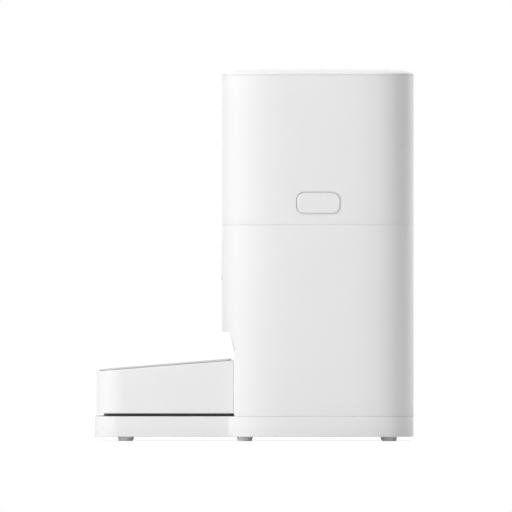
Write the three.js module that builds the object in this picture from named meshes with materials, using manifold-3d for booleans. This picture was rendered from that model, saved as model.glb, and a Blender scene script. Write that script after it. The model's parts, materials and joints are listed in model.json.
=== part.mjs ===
// Smart pet feeder: a tower with a lift-off food bin over a motor driven metering rotor,
// and a platform in front that carries a steel bowl in its holder.
// Millimetres, +Z up. The origin is the middle of the footprint on the surface that the feet
// stand on, the bowl lies towards -Y and the width runs along X.

import * as THREE from 'three';
import { mergeVertices } from 'three/addons/utils/BufferGeometryUtils.js';
import Module from 'manifold-3d';

const wasm = await Module();
wasm.setup();

// Outline of the tower seen from above
const towerWidth = 178;
const towerFrontY = -32.1;
const towerRearY = 159.4;
const outlinePower = 4.6;
const ringPoints = 28;

// Heights of the stack
const footHeight = 4.3;
const baseTopZ = 24.6;
const slopeBottomZ = 93.5;
const overhangZ = 109;
const deckZ = 126.2;
const splitZ = 216.2;
const lidTopZ = 371;
const lidCrown = 3;
const lidRim = 2.7;

// Lower front of the tower, set back behind the bowl
const lowerSetback = 12.8;
const slopeReach = 5.3;

// Platform, bowl holder and bowl
const platformWidth = 138;
const platformFrontY = -159.4;
const platformRadius = 27;
const holderSideGap = 2;
const holderFrontGap = 2.1;
const holderRearGap = 1.3;
const padThickness = 3.35;
const rimInset = 2.3;
const rimFrontZ = 70.4;
const rimRearZ = 81;

// Walls and gaps
const wall = 2.5;
const innerWall = 2;
const clearance = 0.3;
const seamGap = 0.4;
const splitGap = 0.4;
const overrun = 5;

// Metering drum with a sector outlet in its floor, and its rotor
const drumFrontGap = 21.1;
const drumRadius = 57;
const drumWall = 4;
const drumFloor = 3;
const drumRise = 41.8;
const drumSides = 24;
const rotorRunningGap = 1;
const neckStep = 1.5;
const outletInner = 20;
const outletMargin = 2;

// Gear train
const gearModule = 2;
const pressureAngle = THREE.MathUtils.degToRad(25);
const backlash = 0.2;
const gearFace = 8;
const driveTeeth = 22;
const idlerSmallTeeth = 10;
const idlerLargeTeeth = 24;
const pinionTeeth = 9;
const driveGearDrop = 19.2;
const gearStep = 2;
const driveShaftRadius = 4;
const idlerPinRadius = 2.5;
const motorRadius = 14;
const motorLength = 38;
const motorBossShare = 0.4;
const motorShaftShare = 0.12;

// Release buttons in the sides of the bin
const buttonY = 64.2;
const buttonRise = 21.7;
const buttonHoleLength = 44;
const buttonHoleHeight = 21.3;
const buttonHoleRadius = 8.5;
const buttonGroove = 1.3;
const buttonTravel = 2.5;

// Front panel with the feed button
const panelWidth = 60;
const panelHeight = 36;
const panelRadius = 12;
const panelDrop = 38.2;
const panelProud = 0.8;
const feedButtonRadius = 8.5;
const feedButtonTravel = 1;

// Power cells and their case, laid side by side
const cellRadius = 16.4;
const cellLength = 59;
const cellGap = 1.7;
const cellCount = 3;
const caseFrontY = 30;
const doorTravel = 6;

// Worked out from the sizes above
const towerCentreY = (towerFrontY + towerRearY) / 2;
const halfTower = towerWidth / 2;
const innerFaceY = towerRearY - wall;
const lowerFrontY = towerFrontY + lowerSetback;
const slopeTopY = lowerFrontY - slopeReach;
const lidEdgeZ = lidTopZ - lidCrown;
const lidSeamZ = lidEdgeZ - lidRim;
const holderFrontY = platformFrontY + holderFrontGap;
const holderRearY = lowerFrontY - holderRearGap;
const padTopZ = baseTopZ + padThickness;
const holderBottomZ = padTopZ + clearance / 2;
const rimFrontY = holderFrontY + rimInset;
const rimRearY = holderRearY - rimInset;
const rimSlope = (rimRearZ - rimFrontZ) / (rimRearY - rimFrontY);
const housingBottomZ = baseTopZ + seamGap;
const housingTopZ = splitZ - splitGap / 2;
const binBottomZ = splitZ + splitGap / 2;
const binTopZ = lidSeamZ - clearance;
const lidBottomZ = lidSeamZ + clearance;
const rotorY = towerFrontY + drumFrontGap + drumRadius;
const drumTopZ = deckZ + drumRise;
const neckRadius = drumRadius - neckStep;
const outletOuter = drumRadius - outletMargin;
const buttonZ = splitZ + buttonRise;
const panelZ = splitZ - panelDrop;
const cellPitch = cellRadius * 2 + cellGap;
const driveGearZ = deckZ - driveGearDrop;
const idlerLargeZ = driveGearZ - gearFace - gearStep;
const pitchRadius = (teeth) => (teeth * gearModule) / 2;
const idlerY = rotorY + pitchRadius(driveTeeth) + pitchRadius(idlerSmallTeeth);
const pinionY = idlerY + pitchRadius(idlerLargeTeeth) + pitchRadius(pinionTeeth);

// Finishes
function finish(color, roughness, metalness = 0) {
  return new THREE.MeshStandardMaterial({ color, roughness, metalness });
}

const finishes = {
  shell: () => finish(0xf0f0f0, 0.35),
  gloss: () => finish(0xf7f7f7, 0.12),
  inner: () => finish(0xdcdcd8, 0.55),
  clear: () => finish(0xdfe4e6, 0.2),
  dark: () => finish(0x3a3a3c, 0.7),
  foot: () => finish(0x8e8e90, 0.85),
  silicone: () => finish(0xc9ced0, 0.6),
  steel: () => finish(0xb8babd, 0.28, 1),
  brass: () => finish(0xc2a25a, 0.35, 1),
  gear: () => finish(0xeeeade, 0.5),
  board: () => finish(0x2f6b45, 0.6),
  cell: () => finish(0x50555c, 0.4, 0.3),
};

// Solids

// Turns a three.js geometry into a solid whose faces point out.
function toSolid(geometry) {
  const bare = geometry.clone();
  bare.deleteAttribute('normal');
  bare.deleteAttribute('uv');
  const merged = mergeVertices(bare);
  const at = merged.attributes.position;
  const corner = (i) => new THREE.Vector3().fromBufferAttribute(at, i);
  const kept = [];
  let volume = 0;
  for (let i = 0; i < merged.index.count; i += 3) {
    const [a, b, c] = [merged.index.getX(i), merged.index.getX(i + 1), merged.index.getX(i + 2)];
    if (a === b || b === c || c === a) continue;
    kept.push([a, b, c]);
    volume += corner(a).dot(corner(b).cross(corner(c)));
  }
  const turned = volume < 0 ? kept.map(([a, b, c]) => [a, c, b]) : kept;
  return new wasm.Manifold(new wasm.Mesh({
    numProp: 3,
    vertProperties: new Float32Array(at.array),
    triVerts: new Uint32Array(turned.flat()),
  }));
}

function toGeometry(solid) {
  const { vertProperties, triVerts } = solid.getMesh();
  const geometry = new THREE.BufferGeometry();
  geometry.setAttribute('position', new THREE.BufferAttribute(new Float32Array(vertProperties), 3));
  geometry.setIndex(new THREE.BufferAttribute(new Uint32Array(triVerts), 1));
  geometry.computeVertexNormals();
  return geometry;
}

const join = (...solids) => solids.reduce((sum, solid) => sum.add(solid));
const cut = (body, ...tools) => tools.reduce((rest, tool) => rest.subtract(tool), body);

const between = (a, b) => [Math.min(a, b), Math.max(a, b)];

// A box between two limits on each axis.
function block([x0, x1], [y0, y1], [z0, z1]) {
  const box = new THREE.BoxGeometry(x1 - x0, y1 - y0, z1 - z0);
  box.translate((x0 + x1) / 2, (y0 + y1) / 2, (z0 + z1) / 2);
  return toSolid(box);
}

// An upright round bar.
function bar(x, y, radius, z0, z1, sides = 12) {
  const cylinder = new THREE.CylinderGeometry(radius, radius, z1 - z0, sides);
  cylinder.rotateX(Math.PI / 2);
  cylinder.translate(x, y, (z0 + z1) / 2);
  return toSolid(cylinder);
}

// A round bar that runs along Y.
function barAlongY(x, z, radius, y0, y1, sides = 12) {
  const cylinder = new THREE.CylinderGeometry(radius, radius, y1 - y0, sides);
  cylinder.translate(x, (y0 + y1) / 2, z);
  return toSolid(cylinder);
}

// A body turned about an upright axis from its [radius, height] profile.
function turned(x, y, profile, sides = 24) {
  const lathe = new THREE.LatheGeometry(profile.map(([r, z]) => new THREE.Vector2(r, z)), sides);
  lathe.rotateX(Math.PI / 2);
  lathe.translate(x, y, 0);
  return toSolid(lathe);
}

// A body turned about an axis along Y from its [radius, depth] profile.
function turnedAlongY(x, z, profile, sides = 24) {
  const lathe = new THREE.LatheGeometry(profile.map(([r, y]) => new THREE.Vector2(r, y)), sides);
  lathe.translate(x, 0, z);
  return toSolid(lathe);
}

// An upright prism on a shape drawn in X and Y, turned about the origin and then moved.
function prism(shape, z0, z1, { curveSegments = 4, turn = 0, at = [0, 0] } = {}) {
  const extruded = new THREE.ExtrudeGeometry(shape, { depth: z1 - z0, bevelEnabled: false, curveSegments });
  extruded.rotateZ(turn);
  extruded.translate(...at, z0);
  return toSolid(extruded);
}

// A prism along X on a shape drawn in Y and Z.
function prismAlongX(shape, x0, x1, curveSegments = 3) {
  const extruded = new THREE.ExtrudeGeometry(shape, { depth: x1 - x0, bevelEnabled: false, curveSegments });
  extruded.rotateY(Math.PI / 2);
  extruded.rotateX(Math.PI / 2);
  extruded.translate(x0, 0, 0);
  return toSolid(extruded);
}

// A prism along Y on a shape drawn in X and Z.
function prismAlongY(shape, y0, y1, curveSegments = 3) {
  const extruded = new THREE.ExtrudeGeometry(shape, { depth: y1 - y0, bevelEnabled: false, curveSegments });
  extruded.rotateX(Math.PI / 2);
  extruded.translate(0, y1, 0);
  return toSolid(extruded);
}

// A rectangle with round corners about a centre.
function roundedShape(centreX, centreY, width, height, radius) {
  const shape = new THREE.Shape();
  const [right, top] = [width / 2 - radius, height / 2 - radius];
  shape.absarc(centreX + right, centreY + top, radius, 0, Math.PI / 2);
  shape.absarc(centreX - right, centreY + top, radius, Math.PI / 2, Math.PI);
  shape.absarc(centreX - right, centreY - top, radius, Math.PI, Math.PI * 1.5);
  shape.absarc(centreX + right, centreY - top, radius, Math.PI * 1.5, Math.PI * 2);
  shape.closePath();
  return shape;
}

function polygonShape(points) {
  return new THREE.Shape(points.map(([u, v]) => new THREE.Vector2(u, v)));
}

// A sector of a flat ring about the rotor's axis, centred on the front.
function frontSector(innerRadius, outerRadius, halfAngle) {
  const shape = new THREE.Shape();
  const middle = -Math.PI / 2;
  shape.absarc(0, rotorY, outerRadius, middle - halfAngle, middle + halfAngle, false);
  shape.absarc(0, rotorY, innerRadius, middle + halfAngle, middle - halfAngle, true);
  shape.closePath();
  return shape;
}

// Rings and lofts

const signedPower = (value, power) => Math.sign(value) * Math.abs(value) ** power;
const ringAngle = (i) => (i / ringPoints) * Math.PI * 2;

// One ring round the tower, drawn in by an inset, with its front at its own depth.
function towerRing(inset, z, frontY = towerFrontY) {
  return Array.from({ length: ringPoints }, (_, i) => {
    const across = signedPower(Math.cos(ringAngle(i)), 2 / outlinePower);
    const along = signedPower(Math.sin(ringAngle(i)), 2 / outlinePower);
    const reach = along < 0 ? towerCentreY - frontY : towerRearY - towerCentreY;
    return new THREE.Vector3((halfTower - inset) * across, towerCentreY + (reach - inset) * along, z);
  });
}

// One round ring about the rotor's axis, with the same number of points.
function neckRing(radius, z) {
  return Array.from({ length: ringPoints }, (_, i) => new THREE.Vector3(
    radius * Math.cos(ringAngle(i)),
    rotorY + radius * Math.sin(ringAngle(i)),
    z,
  ));
}

// One ring with round corners, for the platform, the bowl and its holder.
function trayRing({ width, frontY, rearY, radius }, inset, z, cornerSteps = 4) {
  const bend = Math.max(radius - inset, clearance);
  const [right, front, rear] = [width / 2 - inset - bend, frontY + inset + bend, rearY - inset - bend];
  const corners = [[right, rear], [-right, rear], [-right, front], [right, front]];
  return corners.flatMap(([x, y], quarter) => Array.from({ length: cornerSteps + 1 }, (_, step) => {
    const angle = (quarter + step / cornerSteps) * (Math.PI / 2);
    return new THREE.Vector3(x + bend * Math.cos(angle), y + bend * Math.sin(angle), z);
  }));
}

// Skins a row of rings. A looped row closes on itself, another is capped at both ends.
function loft(rings, looped = false) {
  const count = rings[0].length;
  const points = rings.flat();
  const index = [];
  const bands = looped ? rings.length : rings.length - 1;
  for (let band = 0; band < bands; band += 1) {
    const low = band * count;
    const high = ((band + 1) % rings.length) * count;
    for (let i = 0; i < count; i += 1) {
      const next = (i + 1) % count;
      index.push(low + i, low + next, high + next, low + i, high + next, high + i);
    }
  }
  if (!looped) {
    for (const [ring, start, flip] of [[rings[0], 0, true], [rings.at(-1), points.length - count, false]]) {
      const middle = ring.reduce((sum, point) => sum.add(point), new THREE.Vector3()).divideScalar(count);
      const centre = points.push(middle) - 1;
      for (let i = 0; i < count; i += 1) {
        const next = (i + 1) % count;
        index.push(centre, start + (flip ? next : i), start + (flip ? i : next));
      }
    }
  }
  const geometry = new THREE.BufferGeometry().setFromPoints(points);
  geometry.setIndex(index);
  return toSolid(geometry);
}

function towerLoft(rows, looped) {
  return loft(rows.map(([inset, z, frontY]) => towerRing(inset, z, frontY)), looped);
}

function trayLoft(tray, rows, looped) {
  return loft(rows.map(([inset, z]) => trayRing(tray, inset, z)), looped);
}

// A patch of the tower's skin between two insets, as tall as the whole tower.
function skin(outerInset, innerInset) {
  const [low, high] = [-overrun, lidTopZ + overrun];
  return towerLoft([[outerInset, low], [outerInset, high], [innerInset, high], [innerInset, low]], true);
}

// Gears

// How far the tips stand past the pitch circle and the roots lie inside it, in modules
const addendumShare = 0.8;
const dedendumShare = 1;

// The middle of a tooth that meets a gap of the gear behind it
const toothAhead = Math.PI / 2;
const gapBehind = (teeth) => -Math.PI / 2 + Math.PI / teeth;

// An involute spur gear round its own axis, standing at z0, with a tooth at the given angle.
function gear(teeth, z0, face, toothAt, y) {
  const pitch = pitchRadius(teeth);
  const baseRadius = pitch * Math.cos(pressureAngle);
  const tip = pitch + gearModule * addendumShare;
  const root = pitch - gearModule * dedendumShare;
  const roll = (radius) => Math.sqrt(Math.max((radius / baseRadius) ** 2 - 1, 0));
  const involute = (radius) => roll(radius) - Math.atan(roll(radius));
  const halfTooth = Math.PI / (2 * teeth) - backlash / (2 * pitch);
  const halfAngle = (radius) => halfTooth + involute(pitch) - involute(Math.max(radius, baseRadius));
  const flank = [root, pitch, tip];
  const outline = [];
  for (let tooth = 0; tooth < teeth; tooth += 1) {
    const middle = toothAt + (tooth / teeth) * Math.PI * 2;
    const rising = flank.map((radius) => [radius, middle - halfAngle(radius)]);
    const falling = flank.map((radius) => [radius, middle + halfAngle(radius)]);
    outline.push(...rising, ...falling.reverse());
  }
  const points = outline.map(([radius, angle]) => [radius * Math.cos(angle), y + radius * Math.sin(angle)]);
  return prism(polygonShape(points), z0, z0 + face);
}

// The assembly

const feeder = new THREE.Group();
feeder.name = 'smart_pet_feeder';

function piece(name, solid, material, position = [0, 0, 0]) {
  const mesh = new THREE.Mesh(toGeometry(solid), material);
  mesh.name = name;
  mesh.position.set(...position);
  feeder.add(mesh);
  return mesh;
}

const sides = [['left', -1], ['right', 1]];

// Base: a skirt with a closed platform, the cover under it, feet and screws

const platform = {
  width: platformWidth,
  frontY: platformFrontY,
  rearY: 0,
  radius: platformRadius,
};
const coverRecess = 0.6;
const coverBottomZ = footHeight + coverRecess;
const coverThickness = 2.8;
const coverTopZ = coverBottomZ + coverThickness;
const frontScrewSideGap = 24;
const frontScrewEndGap = 54.4;
const rearScrewSideGap = 19;
const rearScrewEndGap = 43.4;
const frontScrewX = platformWidth / 2 - frontScrewSideGap;
const rearScrewX = halfTower - rearScrewSideGap;
const screwPlaces = [
  [-frontScrewX, platformFrontY + frontScrewEndGap],
  [frontScrewX, platformFrontY + frontScrewEndGap],
  [-rearScrewX, towerRearY - rearScrewEndGap],
  [rearScrewX, towerRearY - rearScrewEndGap],
];
const bossRadius = 4.5;
const screwRadius = 1.4;
const screwHeadRadius = 3.2;
const screwHeadHeight = 1.4;
const screwLength = 12;
const footRadius = 8;
const footTaper = 1.5;
const footSeatDepth = 1.5;
const frontFootSideGap = 17;
const frontFootEndGap = 31.3;
const middleFootSideGap = 25;
const middleFootSetback = 10;
const rearFootSideGap = 23;
const rearFootEndGap = 24.8;
const footPlaces = [
  ['front', platformWidth / 2 - frontFootSideGap, platformFrontY + frontFootEndGap],
  ['middle', halfTower - middleFootSideGap, lowerFrontY + middleFootSetback],
  ['rear', halfTower - rearFootSideGap, towerRearY - rearFootEndGap],
];
const tongueInset = wall + clearance;
const tongueThickness = 1.5;
const tongueHeight = 3;

function baseFrame() {
  const edge = 1.9;
  const edgeHeight = 2.5;
  const flange = 2.6;
  const rows = [
    [edge, footHeight],
    [edge * 0.3, footHeight + edgeHeight * 0.4],
    [0, footHeight + edgeHeight],
    [0, baseTopZ],
  ];
  const ceiling = baseTopZ - wall;
  const below = [[wall, footHeight - overrun], [wall, ceiling]];
  const opening = [ceiling - overrun, baseTopZ + overrun].map((z) => [wall + flange, z, lowerFrontY]);
  const shell = cut(
    join(towerLoft(rows), trayLoft(platform, rows)),
    join(towerLoft(below), trayLoft(platform, below)),
    towerLoft(opening),
  );
  const bosses = screwPlaces.map(([x, y]) => {
    const skirtX = Math.sign(x) * (halfTower - wall / 2);
    const webX = y > 0 ? between(x, skirtX) : [x - bossRadius, x + bossRadius];
    const heights = [coverTopZ + clearance, ceiling + wall / 2];
    const web = block(webX, [y - innerWall / 2, y + innerWall / 2], heights);
    const post = bar(x, y, bossRadius, ...heights, 8);
    return cut(join(post, web), bar(x, y, screwRadius + clearance, -overrun, coverTopZ + screwLength, 8));
  });
  const tongue = towerLoft([
    [tongueInset, ceiling + wall / 2, lowerFrontY],
    [tongueInset, baseTopZ + tongueHeight, lowerFrontY],
    [tongueInset + tongueThickness, baseTopZ + tongueHeight, lowerFrontY],
    [tongueInset + tongueThickness, ceiling + wall / 2, lowerFrontY],
  ], true);
  return join(shell, ...bosses, tongue);
}

const cellsWidth = cellPitch * (cellCount - 1) + cellRadius * 2;
const doorSideMargin = 1;
const doorEndMargin = 7;
const doorWidth = cellsWidth + doorSideMargin * 2;
const doorLength = cellLength + doorEndMargin * 2;
const doorLedge = 3;
const doorThickness = coverThickness - seamGap;

function bottomCover() {
  const fit = wall + clearance;
  const rows = [[fit, coverBottomZ], [fit, coverTopZ]];
  const plate = join(towerLoft(rows), trayLoft(platform, rows));
  const seats = footPlaces.flatMap(([, x, y]) => sides.map(([, side]) => (
    bar(side * x, y, footRadius + clearance, -overrun, coverBottomZ + footSeatDepth + clearance, 10)
  )));
  const holes = screwPlaces.flatMap(([x, y]) => [
    bar(x, y, screwRadius + clearance, -overrun, coverTopZ + overrun, 8),
    bar(x, y, screwHeadRadius + clearance, -overrun, coverBottomZ + screwHeadHeight + clearance, 8),
  ]);
  const rim = clearance;
  const opening = block(
    [-doorWidth / 2 - rim, doorWidth / 2 + rim],
    [caseFrontY - rim, caseFrontY + doorLength + rim + doorTravel],
    [-overrun, coverTopZ + overrun],
  );
  return cut(plate, ...seats, ...holes, opening);
}

function rubberFoot() {
  const round = 0.8;
  return turned(0, 0, [
    [0, 0],
    [footRadius - footTaper - round, 0],
    [footRadius - footTaper, round],
    [footRadius, footHeight],
    [footRadius, coverBottomZ + footSeatDepth],
    [0, coverBottomZ + footSeatDepth],
  ], 10);
}

// A pan head screw that points up, with its head under the seat.
function screw(headRadius, headHeight, radius, length) {
  const crown = headHeight * 0.4;
  return turned(0, 0, [
    [0, -headHeight],
    [headRadius * 0.7, -headHeight],
    [headRadius, -headHeight + crown],
    [headRadius, 0],
    [radius, 0],
    [radius, length - radius],
    [0, length],
  ], 8);
}

piece('base_frame', baseFrame(), finishes.shell());
piece('bottom_cover', bottomCover(), finishes.shell());
for (const [place, x, y] of footPlaces) {
  for (const [name, side] of sides) {
    piece(`foot_${place}_${name}`, rubberFoot(), finishes.foot(), [side * x, y, 0]);
  }
}
screwPlaces.forEach(([x, y], i) => {
  const seat = coverBottomZ + screwHeadHeight;
  piece(`base_screw_${i + 1}`, screw(screwHeadRadius, screwHeadHeight, screwRadius, screwLength),
    finishes.steel(), [x, y, seat]);
});

// Battery door: it slides back in the cover on two side rails, and the cells lie above it

function batteryDoor() {
  const railHeight = 1.5;
  const railStart = doorWidth / 2 - doorLedge;
  const ends = [caseFrontY, caseFrontY + doorLength];
  const plate = block([-doorWidth / 2, doorWidth / 2], ends, [coverBottomZ, coverBottomZ + doorThickness]);
  const inset = doorLedge;
  const rails = sides.map(([, side]) => {
    const [a, b, c] = [side * railStart, side * doorWidth / 2, side * (doorWidth / 2 + doorLedge)];
    const railY = [ends[0] + inset, ends[1] - inset];
    const web = block(between(a, b), railY,
      [coverBottomZ + doorThickness / 2, coverTopZ + clearance + railHeight]);
    const rail = block(between(a, c), railY,
      [coverTopZ + clearance, coverTopZ + clearance + railHeight]);
    return join(web, rail);
  });
  const grips = Array.from({ length: 4 }, (_, i) => block(
    [-doorWidth / 5, doorWidth / 5],
    [ends[1] - inset * (2 * i + 3), ends[1] - inset * (2 * i + 2)],
    [coverBottomZ - overrun, coverBottomZ + doorThickness / 3],
  ));
  return cut(join(plate, ...rails), ...grips);
}

const caseWall = innerWall;
const caseLift = 2.4;
const caseBottomZ = coverTopZ + caseLift;
const cellZ = caseBottomZ + cellRadius + clearance;
const caseTopZ = cellZ + cellRadius + clearance + caseWall;
const contactDepth = 4;
const caseInnerLength = cellLength + contactDepth * 2;

function batteryCase() {
  const half = cellsWidth / 2 + clearance;
  const outer = block([-half - caseWall, half + caseWall],
    [caseFrontY, caseFrontY + caseInnerLength + caseWall * 2], [caseBottomZ, caseTopZ]);
  const inner = block([-half, half], [caseFrontY + caseWall, caseFrontY + caseWall + caseInnerLength],
    [caseBottomZ - overrun, caseTopZ - caseWall]);
  const ribs = Array.from({ length: cellCount - 1 }, (_, i) => {
    const x = (i + 1 - cellCount / 2) * cellPitch;
    return block([x - caseWall / 4, x + caseWall / 4],
      [caseFrontY + caseWall / 2, caseFrontY + caseWall + caseInnerLength + caseWall / 2],
      [cellZ + cellRadius * 0.72, caseTopZ - caseWall / 2]);
  });
  return join(cut(outer, inner), ...ribs);
}

// One cell that lies along Y, with its raised end to the front.
function batteryCell() {
  const nub = 1.6;
  return turnedAlongY(0, 0, [
    [0, -cellLength],
    [cellRadius * 0.3, -cellLength],
    [cellRadius * 0.3, nub - cellLength],
    [cellRadius - nub / 2, nub - cellLength],
    [cellRadius, nub * 1.5 - cellLength],
    [cellRadius, 0],
    [0, 0],
  ], 12);
}

// A strip of contacts at one end of the cells: a plate with a coned spring for each.
function contactStrip(plateY, towards) {
  const thick = 0.6;
  const reach = contactDepth - thick - clearance * 2;
  const half = cellsWidth / 2 - cellRadius / 2;
  const plateEnd = plateY + towards * thick;
  const plate = block([-half, half], between(plateY, plateEnd),
    [cellZ - cellRadius / 2, cellZ + cellRadius / 2]);
  const cones = Array.from({ length: cellCount }, (_, i) => {
    const x = (i - (cellCount - 1) / 2) * cellPitch;
    const cone = new THREE.CylinderGeometry(cellRadius * 0.16, cellRadius * 0.3, reach + thick / 2, 8);
    if (towards < 0) cone.rotateX(Math.PI);
    cone.translate(x, plateY + towards * (thick / 2 + (reach + thick / 2) / 2), cellZ);
    return toSolid(cone);
  });
  return join(plate, ...cones);
}

piece('battery_door', batteryDoor(), finishes.shell());
piece('battery_case', batteryCase(), finishes.dark());
for (let i = 0; i < cellCount; i += 1) {
  const x = (i - (cellCount - 1) / 2) * cellPitch;
  const endY = caseFrontY + caseWall + contactDepth + cellLength;
  piece(`battery_cell_${i + 1}`, batteryCell(), finishes.cell(), [x, endY, cellZ]);
}
const [contactFrontY, contactRearY] = [caseFrontY + caseWall, caseFrontY + caseWall + caseInnerLength];
piece('battery_contact_front', contactStrip(contactFrontY + clearance, 1), finishes.brass());
piece('battery_contact_rear', contactStrip(contactRearY - clearance, -1), finishes.brass());

// Bowl on its holder, which stands on a dark mat

const holder = {
  width: platformWidth - holderSideGap * 2,
  frontY: holderFrontY,
  rearY: holderRearY,
  radius: platformRadius - holderSideGap / 2,
};
const bowlSeatDrop = 1.4;
const bowlFloorLift = 6.5;

// Lifts a ring towards the slope of the rim, all of it at the top and none at the floor.
function leanRing(ring, floorZ) {
  const topZ = (y) => rimFrontZ + (y - rimFrontY) * rimSlope;
  const levelZ = rimFrontZ;
  return ring.map((point) => {
    const share = Math.min(Math.max((point.z - floorZ) / (levelZ - floorZ), 0), 1);
    return new THREE.Vector3(point.x, point.y, point.z + share * (topZ(point.y) - levelZ));
  });
}

function bowlHolder() {
  const edge = 1.2;
  const floor = 2.4;
  const topZ = rimFrontZ - bowlSeatDrop;
  const lipWidth = 3.2;
  const rows = [
    [edge, holderBottomZ],
    [0, holderBottomZ + edge],
    [0, topZ - edge],
    [edge, topZ],
    [edge + lipWidth, topZ],
    [edge + lipWidth, topZ - wall],
    [wall, topZ - wall * 2],
    [wall, holderBottomZ + floor * 2],
    [wall * 2, holderBottomZ + floor],
  ];
  return loft(rows.map(([inset, z]) => leanRing(trayRing(holder, inset, z), holderBottomZ + floor)));
}

function bowl() {
  const sheet = 1;
  const rimHalf = 1;
  const underRim = 0.6;
  const mouthInset = 9;
  const wallLean = 5;
  const wallFoot = 7;
  const floorInset = 24;
  const floorBend = 4;
  const floorZ = holderBottomZ + bowlFloorLift;
  const rows = [
    [floorInset, floorZ],
    [floorInset - floorBend, floorZ + sheet],
    [mouthInset + wallLean, floorZ + wallFoot],
    [mouthInset, rimFrontZ - rimHalf - underRim],
    [mouthInset - underRim, rimFrontZ - rimHalf],
    [rimInset, rimFrontZ - rimHalf],
    [rimInset - rimHalf * 0.3, rimFrontZ],
    [rimInset + rimHalf * 0.5, rimFrontZ + rimHalf],
    [mouthInset, rimFrontZ + rimHalf * 0.4],
    [mouthInset + sheet * 1.4, rimFrontZ - rimHalf],
    [mouthInset + wallLean + sheet, floorZ + wallFoot + sheet],
    [floorInset - floorBend + sheet, floorZ + sheet * 2],
    [floorInset + floorBend / 2, floorZ + sheet],
  ];
  return loft(rows.map(([inset, z]) => leanRing(trayRing(holder, inset, z), floorZ + sheet)));
}

function holderPad() {
  const inset = 7.3;
  return trayLoft(holder, [
    [inset, baseTopZ],
    [inset, padTopZ],
  ]);
}

piece('holder_pad', holderPad(), finishes.dark());
piece('bowl_holder', bowlHolder(), finishes.shell());
piece('bowl', bowl(), finishes.steel());

// Lower housing: one shell from the base to the split, set back behind the bowl

const chuteHalfWidth = 30;
const chuteWall = innerWall;
const mouthTopMargin = 2.5;
const mouthBottomMargin = 5.5;
const chuteMouthLowZ = slopeBottomZ - mouthBottomMargin;
const chuteMouthHighZ = overhangZ - mouthTopMargin;
const chuteFrontY = rotorY - drumRadius - rotorRunningGap;
const chuteRearY = rotorY - outletInner - chuteWall;
const deckThickness = 2.5;
const deckLedge = 3;
const socketZ = 36;
const socketRadius = 4.2;
const boardRearGap = 16.9;
const boardY = innerFaceY - boardRearGap;
const boardThickness = 1.6;
const boardHalfWidth = 42;
const boardHeight = 62;
const boardDrop = 14.2;
const boardTopZ = deckZ - boardDrop;
const boardBottomZ = boardTopZ - boardHeight;
const postRadius = 2.5;
const sensorHeight = 12;
const sensorZ = drumTopZ + sensorHeight;
const catchReach = 10;
const catchDrop = 15.2;
const catchZ = splitZ - catchDrop;
const catchThickness = 3;
const panelInset = 1.2;
const panelMargin = 3;
const panelBoardDepth = 6.6;
const panelBoardY = towerFrontY + panelBoardDepth;

// The front panel's outline, drawn out by a margin.
function panelOutline(grow) {
  return roundedShape(0, panelZ, panelWidth + grow * 2, panelHeight + grow * 2, panelRadius + grow);
}

// The front face of the lower housing at a height on its slope.
function slopeY(z) {
  const share = Math.min(Math.max((z - slopeBottomZ) / (overhangZ - slopeBottomZ), 0), 1);
  return lowerFrontY + (slopeTopY - lowerFrontY) * share;
}

// The chute's side outline, run out through the housing's front with its clearance.
function mouthShape() {
  return polygonShape([
    [chuteFrontY - clearance, deckZ - clearance],
    [slopeY(chuteMouthHighZ) - clearance, chuteMouthHighZ + clearance],
    [slopeY(chuteMouthHighZ) - overrun, chuteMouthHighZ + clearance],
    [slopeY(chuteMouthLowZ) - overrun, chuteMouthLowZ - clearance],
    [slopeY(chuteMouthLowZ) + clearance, chuteMouthLowZ - clearance],
    [chuteRearY + clearance * 2, deckZ - clearance],
  ]);
}

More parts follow.
